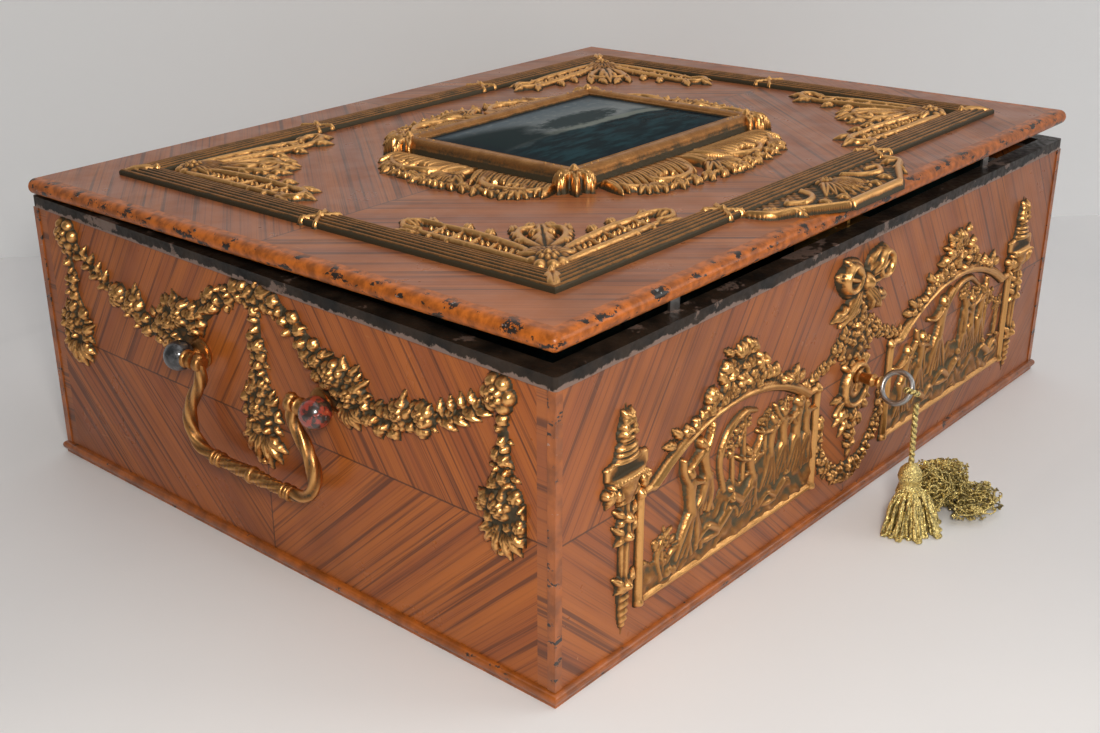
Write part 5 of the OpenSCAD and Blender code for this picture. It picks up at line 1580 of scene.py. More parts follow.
class CASKET_OT_end_garlands(CasketOperator, bpy.types.Operator):
    """Swags and drops of roses on both ends"""

    bl_idname = "casket.end_garlands"
    bl_label = "End garlands"

    def build(self):
        for side, place, seed in (("left", on_left, 41), ("right", on_right, 43)):
            piece = cast(f"garland_{side}", self.carve(mixed(seed)), place, gilt(), "root")
            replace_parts(piece, f"end_garland_{side}")

    def carve(self, rng):
        c = Carving((-121, 38), (121, 107), metals().grain / MM)
        for sign in (-1, 1):
            c.garland([(sign * 3, 103), (sign * 14, 99), (sign * 26, 91), (sign * 36, 84), (sign * 43, 80)],
                      [3.6, 4.2, 5.4, 8.2, 8.6], 5.0, rng, 2.5, (1.6, 2.9))
            c.bouquet(sign * 44, 80.5, 11.0, 9.0, 15, 5.6, rng, (1.8, 3.4))
            c.rose(sign * 40, 85, 5.4, 6.4, 6, 20)
            c.rose(sign * 47.5, 80, 4.4, 5.8, 5, 50)
            for turn in (200, 225, 250, 280, 310):
                c.leaf(sign * 46, 76, 270 + sign * (turn - 255), 9.5, 5.0, 3.8, lobes=3)
            c.garland([(sign * 52, 76), (sign * 62, 74.5), (sign * 72, 79), (sign * 82, 82)],
                      [6.2, 5.4, 6.4, 4.6], 4.6, rng, 2.4, (1.6, 2.8))
            c.rose(sign * 70, 80.5, 4.8, 5.2, 5, 10)
            c.rose(sign * 80, 82.5, 4.4, 5.0, 5, 40)
            c.garland([(sign * 86, 83), (sign * 96, 88), (sign * 106, 94)], [2.2, 2.0, 1.8], 3.2, rng, 2.6,
                      (1.0, 1.6))
            for k in range(4):
                c.leaf(sign * (88 + 4.6 * k), 84 + 2.4 * k, 90 - sign * (115 - 8 * k), 6.5, 2.8, 3.0,
                       lobes=3)
                c.leaf(sign * (88 + 4.6 * k), 85 + 2.4 * k, 90 + sign * (12 + 6 * k), 5.5, 2.4, 2.8,
                       lobes=3)
            c.rose(sign * 111, 99, 6.6, 5.2, 6, 0)
            self.drop(c, sign * 112, 92, 46, 11.0, rng)
        self.drop(c, 0, 99, 39, 10.5, rng)
        c.bouquet(0, 101, 8.5, 4.4, 9, 4.6, rng, (1.6, 2.6))
        self.clear_knobs(c)
        return c.soften()

    def drop(self, c, x, top_z, tip_z, widest, rng):
        """A hanging drop: a narrow string, then a full head that ends in a fan of leaves."""
        span = top_z - tip_z
        head = tip_z + span * 0.34
        c.garland([(x, top_z), (x, (top_z + head) / 2), (x, head + 6)], [2.4, 4.2, 4.4], 4.2, rng, 2.3,
                  (1.4, 2.4))
        c.bouquet(x, head, widest * 0.92, span * 0.19, 14, 5.2, rng, (1.6, 3.0))
        c.rose(x, head + 1.5, widest * 0.46, 5.8, 6, 15)
        for k, turn in enumerate((-58, -34, -12, 12, 34, 58)):
            c.leaf(x + turn * 0.06, head - span * 0.13, 270 + turn, span * (0.26 - 0.0016 * abs(turn)),
                   4.0, 3.6, lobes=3)
        c.ball(x, tip_z + 1.2, 1.5, 2.6)

    def clear_knobs(self, c):
        """Leaves room for the handle knobs."""
        u, v = np.meshgrid(c.u, c.v)
        for sign in (-1, 1):
            near = np.hypot(u - sign * 36, v - HANDLE[2]) < 6.2
            c.h = np.where(near, np.minimum(c.h, 1.2), c.h)


# ---- handles ------------------------------------------------------------------------------------


HANDLE_OUT = abs(HANDLE[0])
BAIL_ARM = [(24.5, 0), (25, -7), (30, -14), (33.5, -22), (32.5, -29), (28, -33.5), (21, -35)]
GRIP_DROP = 35.0
KNOB_OUT = 36.0
SOCKET_IN, SOCKET_OUT = 27.6, 32.0


class CASKET_OT_handles(CasketOperator, bpy.types.Operator):
    """Bail handles with twisted arms and a chased grip, and the sockets and knobs that carry them"""

    bl_idname = "casket.handles"
    bl_label = "Handles"

    def build(self):
        metal = finish("handle_bronze", bronze, metals(), gilding=0.75, tarnish=0.02)
        socket_parts, knob_parts = [], []
        for side in (-1, 1):
            for end in (-1, 1):
                socket_parts += self.socket(side, end)
                knob_parts.append(self.knob(side, end))
        points, faces, high = joined(socket_parts)
        sockets = make_piece("handle_sockets", points, faces, metal, "root", 50,
                             {"relief": high})
        points, faces, high = joined(knob_parts)
        knobs = make_piece("handle_knobs", points, faces, finish("knob_lacquer", knob_paint), "root",
                           50)
        for made in (sockets, knobs):
            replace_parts(made, "handle_posts")
        for name, side in (("left", -1), ("right", 1)):
            points, faces, high = self.bail(side)
            bail = make_piece(f"bail_handle_{name}", points, faces, metal, f"{name}_handle",
                              70, {"relief": high})
            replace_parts(bail, f"bail_{name}")

    def socket(self, side, end):
        """Rosette on the wall, stem, and the sleeve that the bail's pin turns in."""
        z = HANDLE[2]
        rosette = [(-0.2, 5.2), (0.6, 5.4), (1.1, 4.6), (1.6, 4.9), (2.0, 4.0), (2.6, 2.6), (4.4, 2.1),
                   (6.6, 2.3)]
        stem = turned(rosette, (side * HALF_W, end * SOCKET_OUT, z), (side, 0, 0), 28)
        sleeve = [(0, 2.0), (0.3, 2.9), (0.9, 3.1), (1.3, 2.7), (3.2, 2.7), (3.6, 3.3), (4.3, 3.4),
                  (4.8, 2.4)]
        cuff = turned(sleeve, (side * HANDLE_OUT, end * (SOCKET_IN + 0.1), z), (0, end, 0), 28)
        return [stem, cuff]

    def knob(self, side, end):
        """Ball knob: radius follows a circle with a neck and a small nipple at its end."""
        a = np.linspace(0.30, math.pi - 0.12, 26)
        ball = np.stack([5.6 - 5.5 * np.cos(a), 5.6 * np.sin(a)], axis=1)
        profile = np.vstack([[(-0.6, 2.1), (0.0, 2.5), (0.2, 2.2)], ball, [(11.2, 0.9), (11.6, 0.6)]])
        return turned(profile, (side * HANDLE_OUT, end * (KNOB_OUT - 5.4), HANDLE[2]), (0, end, 0), 32)

    def bail(self, side):
        x = side * HANDLE_OUT
        z = HANDLE[2]
        parts = []
        add = parts.append
        for end in (-1, 1):
            knots = [(x, end * a, z + b) for a, b in BAIL_ARM]
            path = smooth_path(knots, 130)
            share = np.linspace(0, 1, 130)
            radius = np.interp(share, [0, 0.1, 0.5, 0.86, 1], [1.8, 2.2, 2.45, 2.3, 2.0])
            add(tube(path, radius, 20, 4, 0.10, 0.62 * end))
            pin = [(x, end * a, z) for a in np.linspace(23.4, 30.0, 6)]
            add(tube(pin, 1.15, 14))
            eye = turned([(-1.5, 2.2), (-1.1, 3.0), (1.1, 3.0), (1.5, 2.2)], (x, end * 24.6, z),
                         (0, end, 0), 24)
            add(eye)
            bead = turned([(-1.2, 0.8), (-0.7, 1.7), (0, 2.0), (0.7, 1.7), (1.2, 0.8)],
                          (x, end * 24.6, z + 2.6), (0, 0, 1), 18)
            add(bead)
            for offset, r in ((20.6, 2.9), (18.9, 2.6), (17.4, 2.9)):
                add(turned([(-0.7, r - 0.7), (-0.35, r), (0.35, r), (0.7, r - 0.7)],
                           (x, end * offset, z - GRIP_DROP), (0, 1, 0), 24))
        y = np.linspace(-21.5, 21.5, 260)
        leafy = 0.16 * np.abs(np.cos(y * 0.9)) + 0.10 * np.cos(y * 2.9)
        radius = 2.0 + 0.55 * np.exp(-(y / 9.0) ** 2) + leafy
        path = np.stack([np.full_like(y, x), y, np.full_like(y, z - GRIP_DROP)], axis=1)
        add(tube(path, radius, 24, 6, 0.06, 0.9))
        add(turned([(-1.3, 2.4), (-0.9, 3.0), (0, 3.25), (0.9, 3.0), (1.3, 2.4)], (x, 0, z - GRIP_DROP),
                   (0, 1, 0), 26))
        return joined(parts)


class CASKET_OT_key(CasketOperator, bpy.types.Operator):
    """Key with a plain ring, a turned collar and a single bit"""

    bl_idname = "casket.key"
    bl_label = "Key and lock"

    def build(self):
        low, high = corners("key")
        ring_out = 13.8 / 2
        bar = 1.05
        centre = np.array([0, low[1] + ring_out, KEY_AXIS[2]])
        self.turn = tilted(KEY_LEAN)
        a = np.linspace(0, TAU, 96, endpoint=False)
        squash = 1 - 0.03 * np.cos(2 * a)
        ring = np.stack([np.zeros_like(a), np.cos(a) * squash, np.sin(a)],
                        axis=1) * (ring_out - bar) @ self.turn.T
        points, faces, _ = closed_tube(ring + centre, bar, 16, 0, 0, 0)
        loop = make_piece("key_ring", points, faces, steel(), "turning_key", 180)
        neck = centre[1] + ring_out - 1.2
        face = -HALF_D - 2.2
        profile = [(0, 1.5), (0.5, 2.4), (1.2, 2.6), (1.8, 2.0), (2.6, 1.7), (3.4, 2.5), (4.0, 2.7),
                   (4.8, 2.2),
                   (face - neck - 1.4, 1.9), (face - neck - 0.9, 2.7), (face - neck - 0.1, 2.7),
                   (face - neck, 1.75), (high[1] - neck - 0.4, 1.75), (high[1] - neck, 1.3)]
        stem = turned(profile, (0, neck, KEY_AXIS[2]), (0, 1, 0), 32)
        bit = self.block((-0.7, high[1] - 9.4, -5.4), (0.7, high[1] - 6.6, 0))
        points, faces, high = joined([stem, bit])
        body = make_piece("key_stem", points, faces, finish("key_bronze", bronze, metals(), gilding=0.6),
                          "turning_key", 50, {"relief": high})
        for made in (loop, body):
            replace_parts(made, "key")
        paint_nodes(steel(), "lock_bolt")
        paint_nodes(brass(), "lock_case", "lock_strike")

    def block(self, low, high):
        points = np.where(BOX_CORNERS, high, low) @ self.turn.T + [0, 0, KEY_AXIS[2]]
        return points, [BOX_FACES, np.zeros((0, 3), int)]


# ---- lid ----------------------------------------------------------------------------------------


MOULD_W, MOULD_D = MOULD_HIGH[0] - MOULD_LOW[0], MOULD_HIGH[1] - MOULD_LOW[1]
MOULD_WIDE = 12.0
FRAME_W, FRAME_D = FRAME_HIGH[0] - FRAME_LOW[0], FRAME_HIGH[1] - FRAME_LOW[1]
FRAME_WIDE = 10.0
FRAME_TALL = FRAME_HIGH[2] - LID_TOP


def lid_frame(name, half_u, half_v, profile, high, material, replaced):
    """A mitred moulding on the lid: profile is (offset outwards, height above the lid) in a closed ring."""
    points, faces = swept_frame((half_u, half_v), profile, 0)
    placed = on_lid(points[..., 0], points[..., 1], points[..., 2])
    made = make_piece(name, placed, faces, material, "lid", 35,
                      {"relief": np.broadcast_to(high, (4, len(profile)))})
    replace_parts(made, replaced)


class CASKET_OT_lid(CasketOperator, bpy.types.Operator):
    """Veneered lid with a lacquered edge, its reeded border and the crossed ribbons on it"""

    bl_idname = "casket.lid"
    bl_label = "Lid and border"

    def build(self):
        steep = math.radians(52)
        lid_wood = veneer("veneer_lid_finish", 0, 1, MOULD_MID[1] * MM, wood(), steep, steep, 0.16,
                          (LID_HIGH[0] * MM, -LID_LOW[1] * MM, 0.0058))
        paint_nodes(lid_wood, "lid_panel")
        olive = finish("border_bronze", bronze, metals(), gilding=0.55, tarnish=0.20)
        profile, high = self.reeds()
        lid_frame("reeded_border", MOULD_W / 2, MOULD_D / 2, profile, high, olive, "lid_moulding")
        ribbon = cast("border_ribbons", self.ribbons(), on_lid, gilt(), "lid")
        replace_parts(ribbon, "lid_ties")

    def reeds(self):
        """Six reeds across the border: height 1.25 + 0.85 |sin(6 pi s)| on a low crown 0.75 sin(pi s)."""
        s = np.linspace(0, 1, 97)
        wave = np.abs(np.sin(6 * math.pi * s))
        height = 1.25 + 0.85 * wave + 0.75 * np.sin(math.pi * s)
        top = np.stack([-MOULD_WIDE * s, height], axis=1)
        profile = np.vstack([[(0.0, -0.3)], top, [(-MOULD_WIDE, -0.3)]])
        high = np.concatenate([[0.1], 0.12 + 0.58 * wave, [0.1]])
        return profile[::-1], high[::-1]

    def ribbons(self):
        c = Carving((-MOULD_W / 2 - 1, -MOULD_D / 2 - 1), (MOULD_W / 2 + 1, MOULD_D / 2 + 1),
                    metals().grain / MM * 1.15)
        mid = MOULD_WIDE / 2
        tie_x = HALF_W * 0.3
        ties = [(sx * tie_x, sy * (MOULD_D / 2 - mid), 0) for sx in (-1, 1) for sy in (-1, 1)]
        ties += [(sx * (MOULD_W / 2 - mid), 0, 90) for sx in (-1, 1)]
        for x, y, turn in ties:
            for lean in (-34, 34):
                a = math.radians(90 + turn + lean)
                reach = np.array([math.cos(a), math.sin(a)]) * 6.6
                c.stroke([np.array([x, y]) - reach, np.array([x, y]) + reach], 1.25, 3.7, ribs=2,
                         square=True)
            c.ball(x, y, 1.6, 4.4)
        for sx in (-1, 1):
            for sy in (-1, 1):
                x, y = sx * (MOULD_W / 2 - mid), sy * (MOULD_D / 2 - mid)
                out = math.degrees(math.atan2(sy, sx))
                c.leaf(x - sx * 5.2, y - sy * 5.2, out, 15.5, 7.2, 3.9, lobes=3, base=0.55)
                c.ball(x - sx * 4.4, y - sy * 4.4, 1.7, 4.2)
        return c.soften()


class CASKET_OT_corner_mounts(CasketOperator, bpy.types.Operator):
    """Pierced corner mounts of the lid: a shell, smooth rods, bead strings and curling leaves"""

    bl_idname = "casket.corner_mounts"
    bl_label = "Lid corners"

    def build(self):
        carved = self.carve()
        a = MOULD_W / 2 - MOULD_WIDE - 0.6
        b = MOULD_D / 2 - MOULD_WIDE - 0.6
        places = {
            "front_left": lambda u, v, h: on_lid(u - a, v - b, h),
            "front_right": lambda u, v, h: on_lid(a - v, u - b, h),
            "back_right": lambda u, v, h: on_lid(a - u, b - v, h),
            "back_left": lambda u, v, h: on_lid(v - a, b - u, h),
        }
        for name, place in places.items():
            piece = cast(f"lid_corner_{name}", carved, place, gilt(), "lid")
            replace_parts(piece, "lid_corner_mounts")

    def carve(self):
        """Drawn for one half of the corner and folded over its diagonal."""
        c = Carving((-0.5, -0.5), (79, 79), metals().grain / MM)
        for flip in (False, True):
            def at(x, y, flip=flip):
                return (y, x) if flip else (x, y)

            def way(turn, flip=flip):
                return 90 - turn if flip else turn
            c.stroke([at(*p) for p in ((9, 7), (24, 10.5), (44, 13), (60, 13.5))], [1.3, 1.5, 1.4, 1.0],
                     [2.4, 2.9, 2.7, 2.0])
            c.stroke([at(*p) for p in ((5, 2.2), (20, 2.6), (44, 3.4), (62, 5.0))], [1.2, 1.5, 1.3, 0.9],
                     [2.0, 2.4, 2.2, 1.6])
            for k in np.arange(12, 63, 2.7):
                c.ball(*at(k, 6.6 + 0.045 * k), 0.95, 2.1)
            for k in range(5):
                c.stroke([at(21 + 8.6 * k, 2.4), at(23.0 + 8.6 * k, 13)], 0.9, 1.7)
            c.stroke([at(*p) for p in ((60, 13.5), (68, 12), (71, 7), (67, 4), (62, 6))],
                     [1.2, 1.4, 1.4, 1.2, 0.9], [2.2, 2.6, 2.8, 2.6, 2.2])
            c.leaf(*at(66, 9), way(4), 10.5, 6.0, 2.8, lobes=3)
            c.leaf(*at(62, 12), way(42), 10, 4.8, 2.6, lobes=3)
            c.leaf(*at(60, 4), way(-12), 12, 4.0, 2.0, lobes=3)
            c.stroke([at(*p) for p in ((17, 14), (28, 18), (34, 24), (31, 30), (25, 29), (24, 24))],
                     [1.5, 1.6, 1.5, 1.3, 1.1, 0.9], [2.6, 2.8, 2.8, 2.6, 2.4, 2.2])
            for x, y, turn, long in ((28, 18, 28, 10), (34, 22, 40, 10), (34, 27, 66, 9), (23, 16, 8, 8),
                                     (40, 15, 60, 7), (50, 15, 62, 7)):
                c.leaf(*at(x, y), way(turn), long, 4.6, 2.6, lobes=3)
            c.ball(*at(28.5, 24.5), 2.0, 3.2)
            c.leaf(*at(9, 9), way(20), 13, 5.2, 3.2, lobes=3)
        for turn in np.linspace(-8, 98, 9):
            c.leaf(7.5, 7.5, turn, 12.5, 4.2, 3.6, ribs=1, base=0.5)
        c.leaf(14, 14, 45, 24, 9.5, 3.4, lobes=4, base=0.4)
        c.leaf(22, 22, 45, 18, 6.5, 3.8, lobes=3, base=0.4)
        c.rose(7.6, 7.6, 7.6, 4.6, 8, 12)
        c.ball(7.6, 7.6, 2.2, 5.0)
        return c.soften()


class CASKET_OT_plaque(CasketOperator, bpy.types.Operator):
    """Domed enamel plaque, its moulded frame and the pierced scrolls round it"""

    bl_idname = "casket.plaque"
    bl_label = "Plaque, frame and scrolls"

    def build(self):
        dark = finish("frame_bronze", bronze, metals(), gilding=0.62, tarnish=0.14)
        profile, high = self.moulding()
        lid_frame("plaque_moulding", FRAME_W / 2, FRAME_D / 2, profile, high, dark, "plaque_frame")
        trim = cast("plaque_corner_leaves", self.frame_corners(), on_lid, gilt(), "lid")
        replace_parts(trim, "plaque_frame")
        self.picture()
        self.scrolls()

    def moulding(self):
        """A cove, a fillet, a full torus and an inner bead, as offset and height."""
        a = np.linspace(0.15, math.pi - 0.45, 26)
        torus = np.stack([-5.3 + 3.3 * np.cos(a), FRAME_TALL - 3.3 + 3.3 * np.sin(a)], axis=1)
        outer = np.array([(0, -0.3), (0, 1.1), (-0.3, 1.5), (-0.9, 1.6), (-1.2, 2.4), (-1.4, 3.6),
                          (-1.7, 4.2)])
        inner = np.array([(-8.4, 5.9), (-8.8, 6.5), (-9.3, 6.7), (-9.8, 6.4), (-10.0, 5.6), (-10.0, -0.3)])
        profile = np.vstack([outer, torus, inner])
        high = np.concatenate([[0.1, 0.5, 0.6, 0.3, 0.2, 0.3, 0.5], 0.42 + 0.30 * np.sin(a),
                               [0.2, 0.55, 0.75, 0.55, 0.3, 0.1]])
        return profile[::-1], high[::-1]

    def frame_corners(self):
        c = Carving((-FRAME_W / 2 - 6, -FRAME_D / 2 - 6), (FRAME_W / 2 + 6, FRAME_D / 2 + 6),
                    metals().grain / MM * 1.1)
        for sx in (-1, 1):
            for sy in (-1, 1):
                x, y = sx * (FRAME_W / 2 - 5.3), sy * (FRAME_D / 2 - 5.3)
                out = math.degrees(math.atan2(sy, sx))
                for lean, long in ((0, 10.5), (-46, 9.5), (46, 9.5), (-88, 8.5), (88, 8.5)):
                    c.leaf(x, y, out + lean, long, 5.0, FRAME_TALL + 1.0, lobes=3, base=0.72)
                c.ball(x, y, 3.1, FRAME_TALL + 2.0)
                for along in (1, 2, 3):
                    c.ball(x - sx * 3.9 * along - sx * 2, y, 1.5, FRAME_TALL + 0.8)
                    c.ball(x, y - sy * 3.9 * along - sy * 2, 1.5, FRAME_TALL + 0.8)
        return c.soften()

    def picture(self):
        """Dome in the frame's opening: it rises 1.7 (1 - x^4) (1 - y^4) with x and y from -1 to 1."""
        a, b = FRAME_W / 2 - FRAME_WIDE - 0.05, FRAME_D / 2 - FRAME_WIDE - 0.05
        x, y = np.meshgrid(np.linspace(-1, 1, 72), np.linspace(-1, 1, 56))
        h = FRAME_TALL - 1.9 + 1.7 * (1 - x ** 4) * (1 - y ** 4)
        top = on_lid(a * x.ravel(), b * y.ravel(), h.ravel())
        under = on_lid(a * x.ravel(), b * y.ravel(), np.full(x.size, 0.1))
        faces = closed_sheet(grid_faces(56, 72), x.size)
        paint = enamel("painted_enamel_finish", (0, MOULD_MID[1] * MM), a * MM, b * MM)
        made = make_piece("enamel_plaque", np.vstack([top, under]), faces, paint, "lid", 50)
        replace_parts(made, "plaque")

    def scrolls(self):
        rng = mixed(23)
        half_u, half_v = FRAME_W / 2, FRAME_D / 2
        long_side = self.cascade(50, 31, rng)
        short_side = self.cascade(41, 25, rng)
        sides = {
            "back": (long_side, lambda u, v, h: on_lid(u, v + half_v, h)),
            "front": (long_side, lambda u, v, h: on_lid(-u, -v - half_v, h)),
            "left": (short_side, lambda u, v, h: on_lid(-v - half_u, u, h)),
            "right": (short_side, lambda u, v, h: on_lid(v + half_u, -u, h)),
        }
        for name, (carved, place) in sides.items():
            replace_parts(cast(f"plaque_scrolls_{name}", carved, place, gilt(), "lid"), "plaque_scrolls")

    def cascade(self, half, reach, rng):
        """Slanting acanthus ribs along the frame, then shells, scrolls and a border of beads and blossoms."""
        c = Carving((-half - 3, -0.4), (half + 3, reach + 1.5), metals().grain / MM)
        for k, x in enumerate(np.arange(-half + 4, half - 3, 3.4)):
            lean = 90 - 22 * np.sign(x) if abs(x) > 2 else 90
            long = reach * (0.50 + 0.16 * math.cos(x / half * math.pi / 2))
            c.leaf(x, -0.3, lean, long, 4.0, 3.9, ribs=1, base=0.6)
        for sign in (-1, 1):
            c.stroke([(sign * 9, 2), (sign * 14, reach * 0.52), (sign * 24, reach * 0.66),
                      (sign * 33, reach * 0.52),
                      (sign * 31, reach * 0.34), (sign * 25, reach * 0.40)], [1.4, 1.7, 1.7, 1.5, 1.2, 0.9],
                     [3.2, 3.4, 3.4, 3.2, 3.0, 2.8])
            c.stroke([(sign * (half - 2), 2), (sign * (half - 3), reach * 0.34),
                      (sign * (half - 9), reach * 0.56)],
                     [1.3, 1.5, 1.2], [2.8, 3.0, 2.6])
            for turn in (20, 48, 76, 104, 132):
                c.leaf(sign * (half - 10), reach * 0.50, 90 - sign * (90 - turn), 7.8, 3.3, 3.0, ribs=1,
                       base=0.5)
            for k in range(7):
                t = k / 6
                c.ball(sign * (3 + (half - 12) * t), reach * (0.93 - 0.26 * t * t), 1.25 - 0.3 * t, 2.9)
            for t in (0.12, 0.3, 0.48, 0.66, 0.82):
                x = sign * (half - 6) * t
                y = reach * (0.80 - 0.22 * t * t)
                c.rose(x, y, rng.uniform(2.2, 3.0), 3.6, 5, rng.uniform(0, 72))
                c.leaf(x, y + 1, 90 - sign * rng.uniform(10, 60), 5.4, 3.0, 2.6, lobes=3)
                c.leaf(x, y, 90 - sign * rng.uniform(60, 110), 6.0, 2.8, 2.4, lobes=3)
            c.pierce(sign * half * 0.5, reach * 0.47, 3.6, 2.1)
        for turn in (30, 54, 78, 102, 126, 150):
            c.leaf(0, reach * 0.52, turn, reach * 0.44, 4.4, 3.8, ribs=1, base=0.5)
        c.rose(0, reach * 0.52, 4.2, 4.4, 6, 0)
        c.ball(0, reach * 0.94, 1.7, 3.2)
        return c.soften()


class CASKET_OT_lid_tab(CasketOperator, bpy.types.Operator):
    """Pierced thumb piece at the lid's front edge"""

    bl_idname = "casket.lid_tab"
    bl_label = "Thumb piece"

    def build(self):
        low, high = closed_corners("lid_tab")
        self.reach = high[1] - low[1]
        outer = MOULD_LOW[1] - MOULD_MID[1]
        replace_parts(cast("thumb_piece", self.carve(), lambda u, v, h: on_lid(-u, outer - v, h), gilt(),
                         "lid"), "lid_tab")

    def carve(self):
        """u along the edge, v outwards from the border to the lip."""
        reach = self.reach
        c = Carving((-52, -0.5), (52, reach + 0.6), metals().grain / MM)
        rng = mixed(29)
        u, v = np.meshgrid(c.u, c.v)
        wide = np.interp(c.v, [0, 8, reach * 0.62, reach * 0.80, reach - 3, reach],
                         [49, 45, 33, 22, 17.5, 15.5])[:, None]
        plate = 1.0 + 0.25 * np.cos(u * 1.6) * np.cos(v * 1.3)
        c.h = np.where((np.abs(u) < wide) & (v < reach), plate, 0)
        lip = np.clip(1 - ((v - (reach - 2.0)) / 2.2) ** 2, 0, 1) ** 0.5
        c.h = np.maximum(c.h, np.where(np.abs(u) < 17, 3.4 * lip, 0))
        for sign in (-1, 1):
            c.stroke([(sign * 47, 1.5), (sign * 44, 9), (sign * 36, 13), (sign * 27, reach * 0.72),
                      (sign * 18, reach - 2)],
                     [1.3, 1.7, 1.7, 1.5, 1.3], [2.4, 3.0, 3.2, 3.2, 3.2])
            c.stroke([(sign * 14, 2), (sign * 18, 9), (sign * 26, 11), (sign * 31, 7), (sign * 27, 4.5)],
                     [1.2, 1.5, 1.5, 1.2, 0.9], [2.8, 3.2, 3.2, 3.0, 2.6])
            for x, y, turn, long in ((40, 3, 60, 9), (36, 10, 100, 8), (44, 6, 100, 6), (20, 12, 80, 9),
                                     (12, 14, 100, 8)):
                c.leaf(sign * x, y, 90 - sign * (90 - turn), long, 4.6, 3.2, lobes=3)
            c.pierce(sign * 24, 8.0, 3.0, 1.9)
            c.pierce(sign * 37.5, 6.0, 2.4, 1.6)
        for turn in np.linspace(34, 146, 9):
            c.leaf(0, 3.0, turn, reach * 0.62, 4.4, 3.8, ribs=1, base=0.5)
        c.bouquet(0, reach * 0.55, 13, 4.4, 9, 3.9, rng, (1.3, 2.2))
        c.rose(0, 4.0, 4.6, 4.6, 6, 0)
        return c.soften()


# ---- inside -------------------------------------------------------------------------------------


class CASKET_OT_linings(CasketOperator, bpy.types.Operator):
    """Quilted velvet in the well and under the lid, and the loose cushion"""

    bl_idname = "casket.linings"
    bl_label = "Linings and cushion"

    def build(self):
        cloth = finish("silk_velvet", velvet, wood())
        paint_nodes(cloth, "well_lining")
        self.lid_pad(cloth)
        self.cushion(cloth)

    def lid_pad(self, cloth):
        """Diamond quilting: between its seams the lower face bulges by |sin(x + y) sin(x - y)|^0.35."""
        low, high = closed_corners("lid_lining")
        nx, ny = 250, 190
        x, y = np.meshgrid(np.linspace(low[0], high[0], nx), np.linspace(low[1], high[1], ny))
        cell = math.pi / 30
        puff = np.abs(np.sin((x + y) * cell) * np.sin((x - y) * cell)) ** 0.35
        rim = np.minimum(np.minimum(x - low[0], high[0] - x), np.minimum(y - low[1], high[1] - y))
        soft = np.clip(rim / 6.0, 0, 1) ** 0.5
        depth = high[2] - low[2]
        under = high[2] - depth * (0.30 + 0.62 * puff) * (0.25 + 0.75 * soft)
        top = np.stack([x, y, np.full_like(x, high[2] - 0.02)], axis=-1).reshape(-1, 3)
        bottom = np.stack([x, y, under], axis=-1).reshape(-1, 3)
        faces = closed_sheet(grid_faces(ny, nx), nx * ny)
        points = lid_turn(np.vstack([top, bottom]), LID_AJAR)
        pad = make_piece("lid_quilting", points, faces, cloth, "lid", 180)
        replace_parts(pad, "lid_lining")

    def cushion(self, cloth):
        """A box of cloth, blown up from inside until it fills the well."""
        low, high = corners("well_cushion")
        rise = (high[2] - low[2]) * 0.20
        grow = np.array([1.2, 1.2, rise])
        start_low, start_high = low + grow * [1, 1, 0.4], high - grow
        points = np.where(BOX_CORNERS, start_high, start_low)
        piece = make_piece("velvet_cushion", points, BOX_FACES, cloth, "root", 180)
        self.blow_up(piece, low * MM, high * MM)
        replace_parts(piece, "well_cushion")

    def blow_up(self, piece, low, high):
        scene = bpy.context.scene
        remesh = piece.modifiers.new("remesh", "REMESH")
        remesh.mode = "VOXEL"
        remesh.voxel_size = 0.005
        self.bake(piece)
        rest = np.empty(len(piece.data.vertices) * 3)
        piece.data.vertices.foreach_get("co", rest)
        cloth = piece.modifiers.new("cloth", "CLOTH")
        settings = cloth.settings
        settings.quality = 6
        settings.mass = 0.15
        settings.tension_stiffness = 12
        settings.compression_stiffness = 8
        settings.shear_stiffness = 6
        settings.bending_stiffness = 0.3
        settings.use_pressure = True
        settings.uniform_pressure_force = 4.0
        settings.effector_weights.gravity = 0.0
        cloth.point_cache.frame_start = 1
        cloth.point_cache.frame_end = 20
        for step in range(1, 21):
            scene.frame_set(step)
        self.bake(piece)
        scene.frame_set(1)
        moved = np.empty(len(piece.data.vertices) * 3)
        piece.data.vertices.foreach_get("co", moved)
        rest, moved = rest.reshape(-1, 3), moved.reshape(-1, 3)
        moved = rest + np.clip(moved - rest, -0.006, 0.006)
        inside = np.array([0.0003, 0.0003, 0.0002])
        moved = np.clip(moved, low + inside, high - inside)
        piece.data.vertices.foreach_set("co", moved.ravel())
        piece.data.update()
        smooth = piece.modifiers.new("smooth", "SUBSURF")
        smooth.levels = smooth.render_levels = 1

    def bake(self, piece):
        """Makes the evaluated mesh the piece's own."""
        graph = bpy.context.evaluated_depsgraph_get()
        mesh = bpy.data.meshes.new_from_object(piece.evaluated_get(graph))
        mesh.polygons.foreach_set("use_smooth", np.ones(len(mesh.polygons), bool))
        piece.modifiers.clear()
        piece.data = mesh


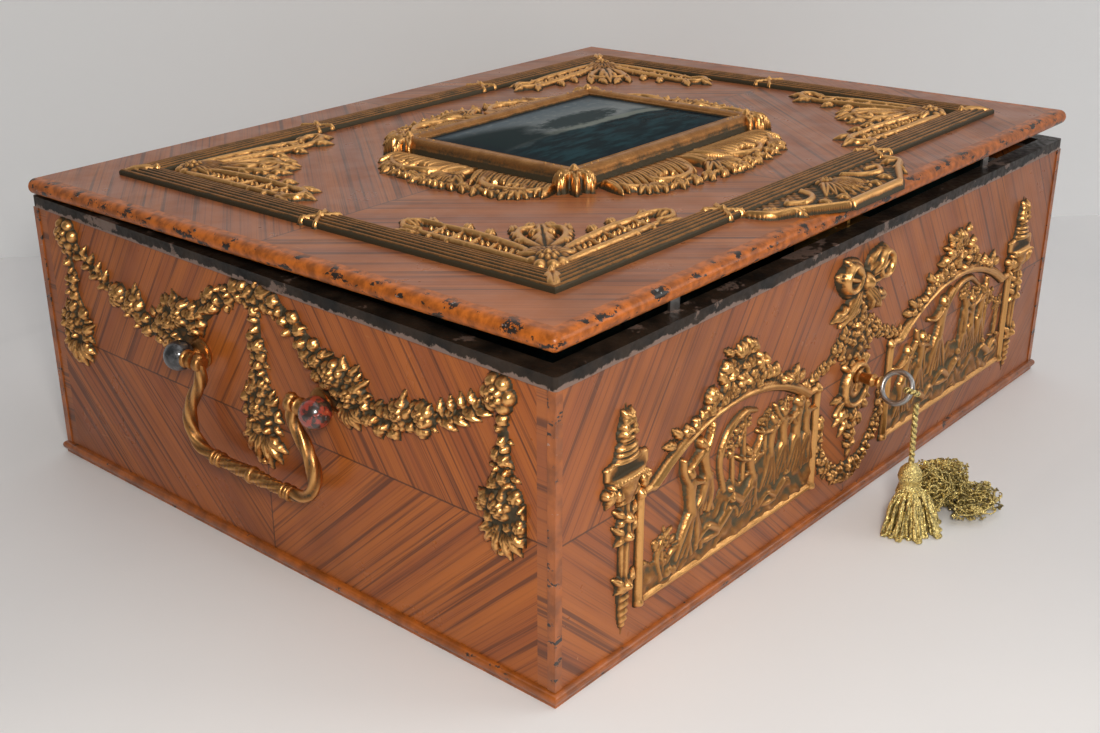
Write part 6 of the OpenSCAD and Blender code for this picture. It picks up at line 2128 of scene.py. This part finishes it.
class CASKET_OT_movement(CasketOperator, bpy.types.Operator):
    """Music movement: metal finishes, the pins of the cylinder and the glass over it"""

    bl_idname = "casket.movement"
    bl_label = "Music movement"

    def build(self):
        paint_nodes(brass(), "bearing_bridges", "spring_barrel", "winding_lever", "governor_frame",
                    "governor_wheel", "stop_lever")
        paint_nodes(finish("bed_iron", plain_metal, (0.30, 0.24, 0.14), 0.42, (1, 1, 1),
                           (0.12, 0.09, 0.05), 0.6),
                    "bedplate")
        paint_nodes(finish("cylinder_brass", plain_metal, (0.66, 0.46, 0.18), 0.22, (0.05, 1, 1)),
                    "pinned_cylinder")
        paint_nodes(steel(), "comb", "comb_screws", "barrel_arbor", "ratchet_click", "fly")
        paint_nodes(finish("cover_glass", clear_glass), "cover_glass")
        self.pins()

    def pins(self):
        """Square pins in rings round the cylinder, one tune's worth set by chance."""
        low, high = corners("pinned_cylinder")
        arbor_end = 17.0  # the arbor's length beyond the drum, at each end
        middle = (low + high) / 2
        rng = mixed(61)
        rows = 60
        margin = arbor_end + 4.0
        x = np.repeat(np.linspace(low[0] + margin, high[0] - margin, rows), 15)
        a = rng.uniform(0, TAU, len(x))
        count = len(x)
        half, tall = 0.22, 0.75
        drum = 17.0  # the cylinder's own radius
        out = np.stack([np.zeros(count), np.cos(a), np.sin(a)], axis=1)
        side = np.stack([np.zeros(count), -np.sin(a), np.cos(a)], axis=1)
        axis = np.array([1.0, 0, 0])
        root = np.stack([x, np.full(count, middle[1]), np.full(count, middle[2])], axis=1)
        ring = [(-1, -1), (1, -1), (1, 1), (-1, 1)]
        blocks = []
        for depth in (drum - 0.6, drum + tall):
            for s, t in ring:
                blocks.append(root + out * depth + axis * s * half + side * t * half)
        points = np.stack(blocks, axis=1).reshape(-1, 3)
        quads = np.array([(0, 1, 5, 4), (1, 2, 6, 5), (2, 3, 7, 6), (3, 0, 4, 7), (4, 5, 6, 7),
                          (0, 3, 2, 1)])
        faces = (quads[None] + 8 * np.arange(count)[:, None, None]).reshape(-1, 4)
        make_piece("tune_pins", points, faces, steel(), "cylinder", 10)


# ---- panel and run ------------------------------------------------------------------------------


OPERATORS = (
    CASKET_OT_stage, CASKET_OT_cord, CASKET_OT_tassel, CASKET_OT_case, CASKET_OT_hinges,
             CASKET_OT_front_panels,
    CASKET_OT_front_reliefs, CASKET_OT_torches, CASKET_OT_centre_mounts, CASKET_OT_end_garlands,
             CASKET_OT_handles,
    CASKET_OT_key, CASKET_OT_lid, CASKET_OT_corner_mounts, CASKET_OT_plaque, CASKET_OT_lid_tab,
             CASKET_OT_linings,
    CASKET_OT_movement,
)


class CASKET_PT_panel(bpy.types.Panel):
    """Lists the casket's operators and the values they read."""

    bl_idname = "CASKET_PT_panel"
    bl_label = "Casket"
    bl_space_type = "VIEW_3D"
    bl_region_type = "UI"
    bl_category = "Casket"

    def draw(self, context):
        layout = self.layout
        for group in (context.scene.casket_wood, context.scene.casket_metal):
            box = layout.box()
            for name in group.bl_rna.properties.keys():
                if name not in ("rna_type", "name"):
                    box.prop(group, name)
        for operator in OPERATORS:
            layout.operator(operator.bl_idname)


CLASSES = (CasketWood, CasketMetal, *OPERATORS, CASKET_PT_panel)


def register():
    for made in CLASSES:
        bpy.utils.register_class(made)
    bpy.types.Scene.casket_wood = bpy.props.PointerProperty(type=CasketWood)
    bpy.types.Scene.casket_metal = bpy.props.PointerProperty(type=CasketMetal)


def unregister():
    del bpy.types.Scene.casket_metal
    del bpy.types.Scene.casket_wood
    for made in reversed(CLASSES):
        bpy.utils.unregister_class(made)


def main():
    register()
    for operator in OPERATORS:
        group, name = operator.bl_idname.split(".")
        getattr(getattr(bpy.ops, group), name)()


if __name__ == "__main__":
    main()
